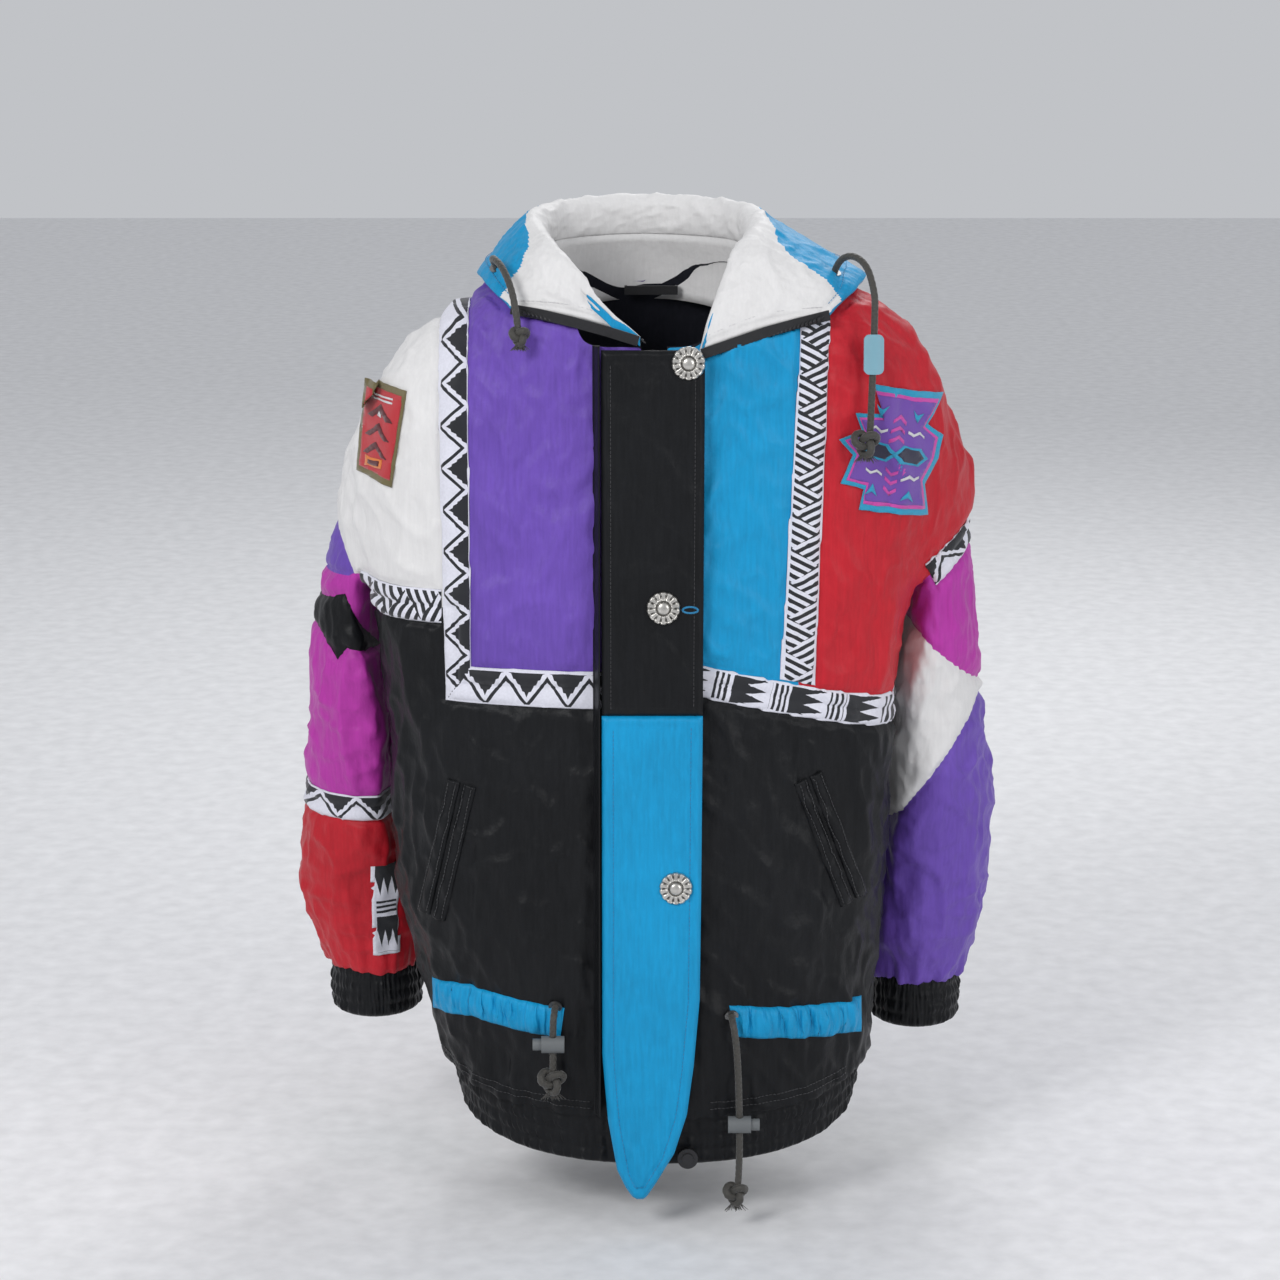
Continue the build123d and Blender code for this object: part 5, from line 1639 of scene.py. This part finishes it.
# ---------------------------------------------------------------- teeth and tape along the lapels
def lapel_zip(label, column, beyond):
    """Half of the zip, turned back along a lapel's end."""
    grid, up = collar_surface(260, 64)
    line, face = grid[column], up[column]
    out = grid[column] - grid[beyond]
    out -= face * np.sum(out * face, axis=1)[:, None]
    out /= np.linalg.norm(out, axis=1)[:, None]
    distance = np.concatenate([[0], np.cumsum(np.linalg.norm(np.diff(line, axis=0), axis=1))])
    at = np.arange(1.0, distance[-1] - 1.0, 1.0)
    line, face, out = (np.stack([np.interp(at, distance, value[:, k]) for k in range(3)], axis=1)
                       for value in (line, face, out))
    across = np.linspace(-3.0, 8.0, 6)
    top = np.array([[p - f * 2.6 + o * a for a in across] for p, f, o in zip(line, face, out)])
    tape = closed_pair("lapel_tape_" + label, top, top - face[:, None, :] * 1.2, ZIP_TAPE)
    teeth = []
    along_way = np.gradient(line, axis=0)
    along_way /= np.linalg.norm(along_way, axis=1)[:, None]
    for i in range(2, len(line) - 2, 4):
        centre = line[i] - face[i] * 3.2 + out[i] * 7.6
        corners = [(sx * (2.6 if sx < 0 else 2.2), sy * (1.15 if sx > 0 else 0.8), sz * 1.6)
                   for sx in (-1, 1) for sy in (-1, 1) for sz in (-1, 1)]
        vertices = np.array([centre + out[i] * a + along_way[i] * b + face[i] * c for a, b, c in corners])
        teeth.append((vertices, [(0, 1, 3, 2), (4, 6, 7, 5), (0, 4, 5, 1), (2, 3, 7, 6), (0, 2, 6, 4), (1, 5, 7, 3)]))
    teeth.append(sweep(line[::2] - face[::2] * 3.2 + out[::2] * 5.2, 1.1, 8))
    comb = several("lapel_teeth_" + label, teeth, ZIP_PLASTIC)
    modifier = comb.modifiers.new("bevel", "BEVEL")
    modifier.width = 0.35 * MM
    modifier.segments = 2
    modifier.limit_method = "ANGLE"
    for piece, slot in ((tape, "zip_tape"), (comb, "zip_plastic")):
        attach(piece, BODY)


lapel_zip("right", 0, 2)
lapel_zip("left", -1, -3)

# ---------------------------------------------------------------- applique patches
PATCH_RIGHT = [(-239, -60), (-200, -66), (-214, -150), (-246, -140)]
PATCH_LEFT = [(200, -58), (262, -72), (248, -96), (262, -108), (258, -128), (246, -150), (250, -178), (188, -166),
              (192, -148), (172, -142), (182, -118), (170, -104), (190, -98), (184, -82), (208, -84)]


def embroidery(name, colour, dark=0.8, scale=520.0):
    graph = Graph(name, Roughness=0.6, Sheen_Weight=0.35, Sheen_Roughness=0.45)
    stitch = graph.node("TexWave", Vector=graph.stretched((1.0, 1.0, 0.5)), Scale=scale, Distortion=0.8)
    # painted shade and light: the colour follows the stitch wave of the bump, darker in the grooves between stitches
    # and lighter on their tops
    graph.colour(graph.mix(stitch, rgba(colour, dark), rgba(colour, 1.15)))
    graph.bump(stitch, 0.0002, 0.8)
    return graph.material


EMBROIDERY = {name: embroidery("embroidery_" + name, colour) for name, colour in (
    ("purple", (0.16, 0.06, 0.40)), ("pink", (0.62, 0.06, 0.40)), ("turquoise", (0.01, 0.33, 0.55)),
    ("white", (0.7, 0.7, 0.72)), ("dark", (0.02, 0.02, 0.05)), ("red", (0.50, 0.02, 0.03)),
    ("maroon", (0.10, 0.01, 0.015)), ("orange", (0.75, 0.20, 0.03)), ("serge", (0.16, 0.13, 0.05)))}


def applique(name, outline, colour, lift, thickness):
    """Flat piece over x, z points, laid on the shell."""
    bm = bmesh.new()
    corners = [bm.verts.new((x * MM, 0, z * MM)) for x, z in outline]
    bm.faces.new(corners)
    xs, zs = zip(*outline)
    for low, high, normal in ((min(xs), max(xs), (1, 0, 0)), (min(zs), max(zs), (0, 0, 1))):
        for level in np.arange(low + 3.0, high, 3.0):
            bmesh.ops.bisect_plane(bm, geom=bm.verts[:] + bm.edges[:] + bm.faces[:], dist=1e-7,
                                   plane_co=Vector(normal) * float(level) * MM, plane_no=normal)
    bmesh.ops.triangulate(bm, faces=bm.faces[:])
    for vertex in bm.verts:
        point, normal = on_shell(vertex.co.x / MM, vertex.co.z / MM)
        vertex.co = Vector(point + normal * lift) * MM
    mesh = bpy.data.meshes.new(name)
    bm.to_mesh(mesh)
    bm.free()
    obj = bpy.data.objects.new(name, mesh)
    scene.collection.objects.link(obj)
    mesh.materials.append(EMBROIDERY[colour])
    for polygon in mesh.polygons:
        polygon.use_smooth = True
    flip = sum(polygon.normal.y * polygon.area for polygon in mesh.polygons) > 0
    if flip:
        mesh.flip_normals()
    solidify(obj, thickness)
    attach(obj, BODY)
    return obj


def shrunk(outline, share):
    cx = sum(x for x, _ in outline) / len(outline)
    cz = sum(z for _, z in outline) / len(outline)
    return [(cx + (x - cx) * share, cz + (z - cz) * share) for x, z in outline]


def local(origin, along, width):
    """Reading of patch coordinates: u across and v down, from -1 to 1."""
    def place(points):
        return [(origin[0] + u * width[0] + v * along[0], origin[1] + u * width[1] + v * along[1]) for u, v in points]
    return place


base = applique("patch_left_base", PATCH_LEFT, "turquoise", 1.9, 1.8)
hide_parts("patch_left")
applique("patch_left_line", shrunk(PATCH_LEFT, 0.90), "pink", 2.3, 0.6)
applique("patch_left_field", shrunk(PATCH_LEFT, 0.84), "purple", 2.6, 0.6)
on_left = local((218.0, -119.0), (-6.0, -46.0), (30.0, -8.0))
LEFT_MOTIFS = [
    # name, colour, points across and down from -1 to 1
    ("window", "dark", [(-0.86, 0.0), (-0.66, -0.13), (-0.26, -0.13), (-0.06, 0.0), (-0.26, 0.13), (-0.66, 0.13)]),
    ("zigzag_top", "white", [(-0.78, -0.40), (-0.62, -0.46), (-0.46, -0.40), (-0.30, -0.46), (-0.30, -0.41),
                             (-0.46, -0.35), (-0.62, -0.41), (-0.78, -0.35)]),
    ("zigzag_low", "white", [(-0.78, 0.40), (-0.62, 0.46), (-0.46, 0.40), (-0.30, 0.46), (-0.30, 0.41),
                             (-0.46, 0.35), (-0.62, 0.41), (-0.78, 0.35)]),
    ("spike_top", "turquoise", [(-0.70, -0.84), (-0.52, -0.62), (-0.34, -0.84), (-0.52, -0.76)]),
    ("spike_low", "turquoise", [(-0.70, 0.84), (-0.52, 0.62), (-0.34, 0.84), (-0.52, 0.76)]),
]
for name, colour, points in LEFT_MOTIFS:
    for half, sign in (("a", 1), ("b", -1)):
        shape = [(sign * u, v) for u, v in points]
        if name == "window":
            applique(f"patch_left_frame_{half}", on_left(shrunk(shape, 1.3)), "turquoise", 3.0, 0.5)
        applique(f"patch_left_{name}_{half}", on_left(shape), colour, 3.3, 0.5)
for number, v in enumerate((-0.62, -0.44, -0.26, 0.26, 0.44, 0.62)):
    point = -0.09 if v < 0 else 0.09
    chevron = [(-0.2, v), (0.0, v + point), (0.2, v), (0.2, v + 0.07), (0.0, v + point + 0.07), (-0.2, v + 0.07)]
    applique(f"patch_left_chevron_{number}", on_left(chevron), "pink", 3.0, 0.6)

base = applique("patch_right_base", PATCH_RIGHT, "serge", 1.9, 1.8)
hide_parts("patch_right")
applique("patch_right_field", shrunk(PATCH_RIGHT, 0.86), "red", 2.4, 0.7)
on_right = local((-225.0, -104.0), (-6.0, -38.0), (15.5, -1.5))
for number, v in enumerate((-0.62, -0.20, 0.22)):
    triangle_shape = [(-0.72, v + 0.34), (0.0, v), (0.72, v + 0.34), (0.42, v + 0.34), (0.0, v + 0.16), (-0.42, v + 0.34)]
    applique(f"patch_right_chevron_{number}", on_right(triangle_shape), "maroon", 2.9, 0.6)
applique("patch_right_block", on_right([(-0.5, 0.60), (0.5, 0.60), (0.5, 0.80), (-0.5, 0.80)]), "orange", 2.9, 0.6)
applique("patch_right_block_field", on_right([(-0.34, 0.645), (0.34, 0.645), (0.34, 0.755), (-0.34, 0.755)]), "maroon", 3.3, 0.5)
for number, v in enumerate((-0.80, -0.72)):
    applique(f"patch_right_bar_{number}", on_right([(-0.6, v), (0.6, v), (0.6, v + 0.035), (-0.6, v + 0.035)]), "white", 2.9, 0.6)
applique("patch_right_mark", on_right([(-0.14, -0.34), (0.0, -0.46), (0.14, -0.34)]), "white", 3.3, 0.5)


# ---------------------------------------------------------------- topstitching
def on_flap(x, z):
    hit, _, _, _ = flap_tree.ray_cast(Vector((x * MM, -0.4, z * MM)), Vector((0, 1, 0)))
    return front_place(x, z, FLAP_HIGH) if hit is None else np.array(hit) / MM


def stitching(name, points, thread_colour, body, radius=0.38, pitch=3.6):
    """Row of separate stitches along a line of places in mm."""
    line = even(np.asarray(points, float), pitch / 4)
    parts = []
    for i in range(0, len(line) - 4, 4):
        piece = line[i:i + 4].copy()
        parts.append(sweep(piece, np.array([0.6, 1.0, 1.0, 0.6]) * radius, 6))
    obj = several(name, parts, THREADS[thread_colour])
    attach(obj, body)
    return obj


def flap_stitch_line(inset, high, low):
    down = [(reading(FREE_EDGE, z) - inset, z) for z in np.arange(high, low, -2.0)]
    up_line = [(reading(ROOT_EDGE, z) + inset, z) for z in np.arange(low, high, 2.0)]
    return down, up_line


down, back_up = flap_stitch_line(10.0, SPLIT_Z - 8, FLAP_TIP + 14)
stitching("stitch_flap_lower", [on_flap(x, z) for x, z in down + back_up], "turquoise", FLAP)
down, back_up = flap_stitch_line(8.0, FLAP_TOP - 9, SPLIT_Z + 8)
stitching("stitch_flap_upper_free", [on_flap(x, z) for x, z in down], "black", FLAP)
stitching("stitch_flap_upper_root", [on_flap(x, z) for x, z in back_up], "black", FLAP)
hole_x, hole_z = 43.0, -246.0
loop = [(hole_x + 6.5 * math.cos(t), hole_z + 2.6 * math.sin(t)) for t in np.linspace(0, 2 * math.pi, 60)]
hole = several("buttonhole_edge", [sweep([on_flap(x, z) for x, z in loop], 0.9, 8,
                                         lambda d, turns: 1 + 0.18 * np.sin(d * 5.0) * np.ones(len(turns)))],
               THREADS["turquoise"])
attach(hole, FLAP)

for label, line in POCKETS.items():
    for number, distance in enumerate((10.5, -10.5, 3.4, -3.4)):
        ends = beside(line, distance)
        run = [lerp(ends, s) for s in np.linspace(0.02, 0.98, 60)]
        stitching(f"stitch_pocket_{label}_{number}", [p + n * 3.2 for p, n in (on_shell(x, z) for x, z in run)],
                  "black", BODY)

for label, x_from, x_to in (("right", -176, -40), ("left", 62, 186)):
    for number, rise in enumerate((7.0, 13.0)):
        places = []
        for x in np.arange(x_from, x_to, 3.0):
            z = (APRON_Z + APRON_TILT * float(front_surface_y(x, APRON_Z))) + rise
            point, normal = on_shell(x, z)
            places.append(point + normal * 0.3)
        stitching(f"stitch_apron_{label}_{number}", places, "black", BODY)

rim_line = [collar_top[i, -5] + collar_up[i, -5] * 0.1 for i in range(6, 254, 2)]
stitching("stitch_collar_rim", rim_line, "turquoise", BODY)
for label, column in (("right", 6), ("left", -7)):
    lapel = [collar_top[column, j] + collar_up[column, j] * 0.1 for j in range(3, 60)]
    stitching("stitch_lapel_" + label, lapel, "white", BODY)

# ---------------------------------------------------------------- floor and the end
floor = new_object("floor", [(-8, -8, -0.80), (8, -8, -0.80), (8, 8, -0.80), (-8, 8, -0.80)], [(0, 1, 2, 3)],
                   plastic("floor_paint", (0.80, 0.80, 0.81), 0.8, 0.00001, 60.0))
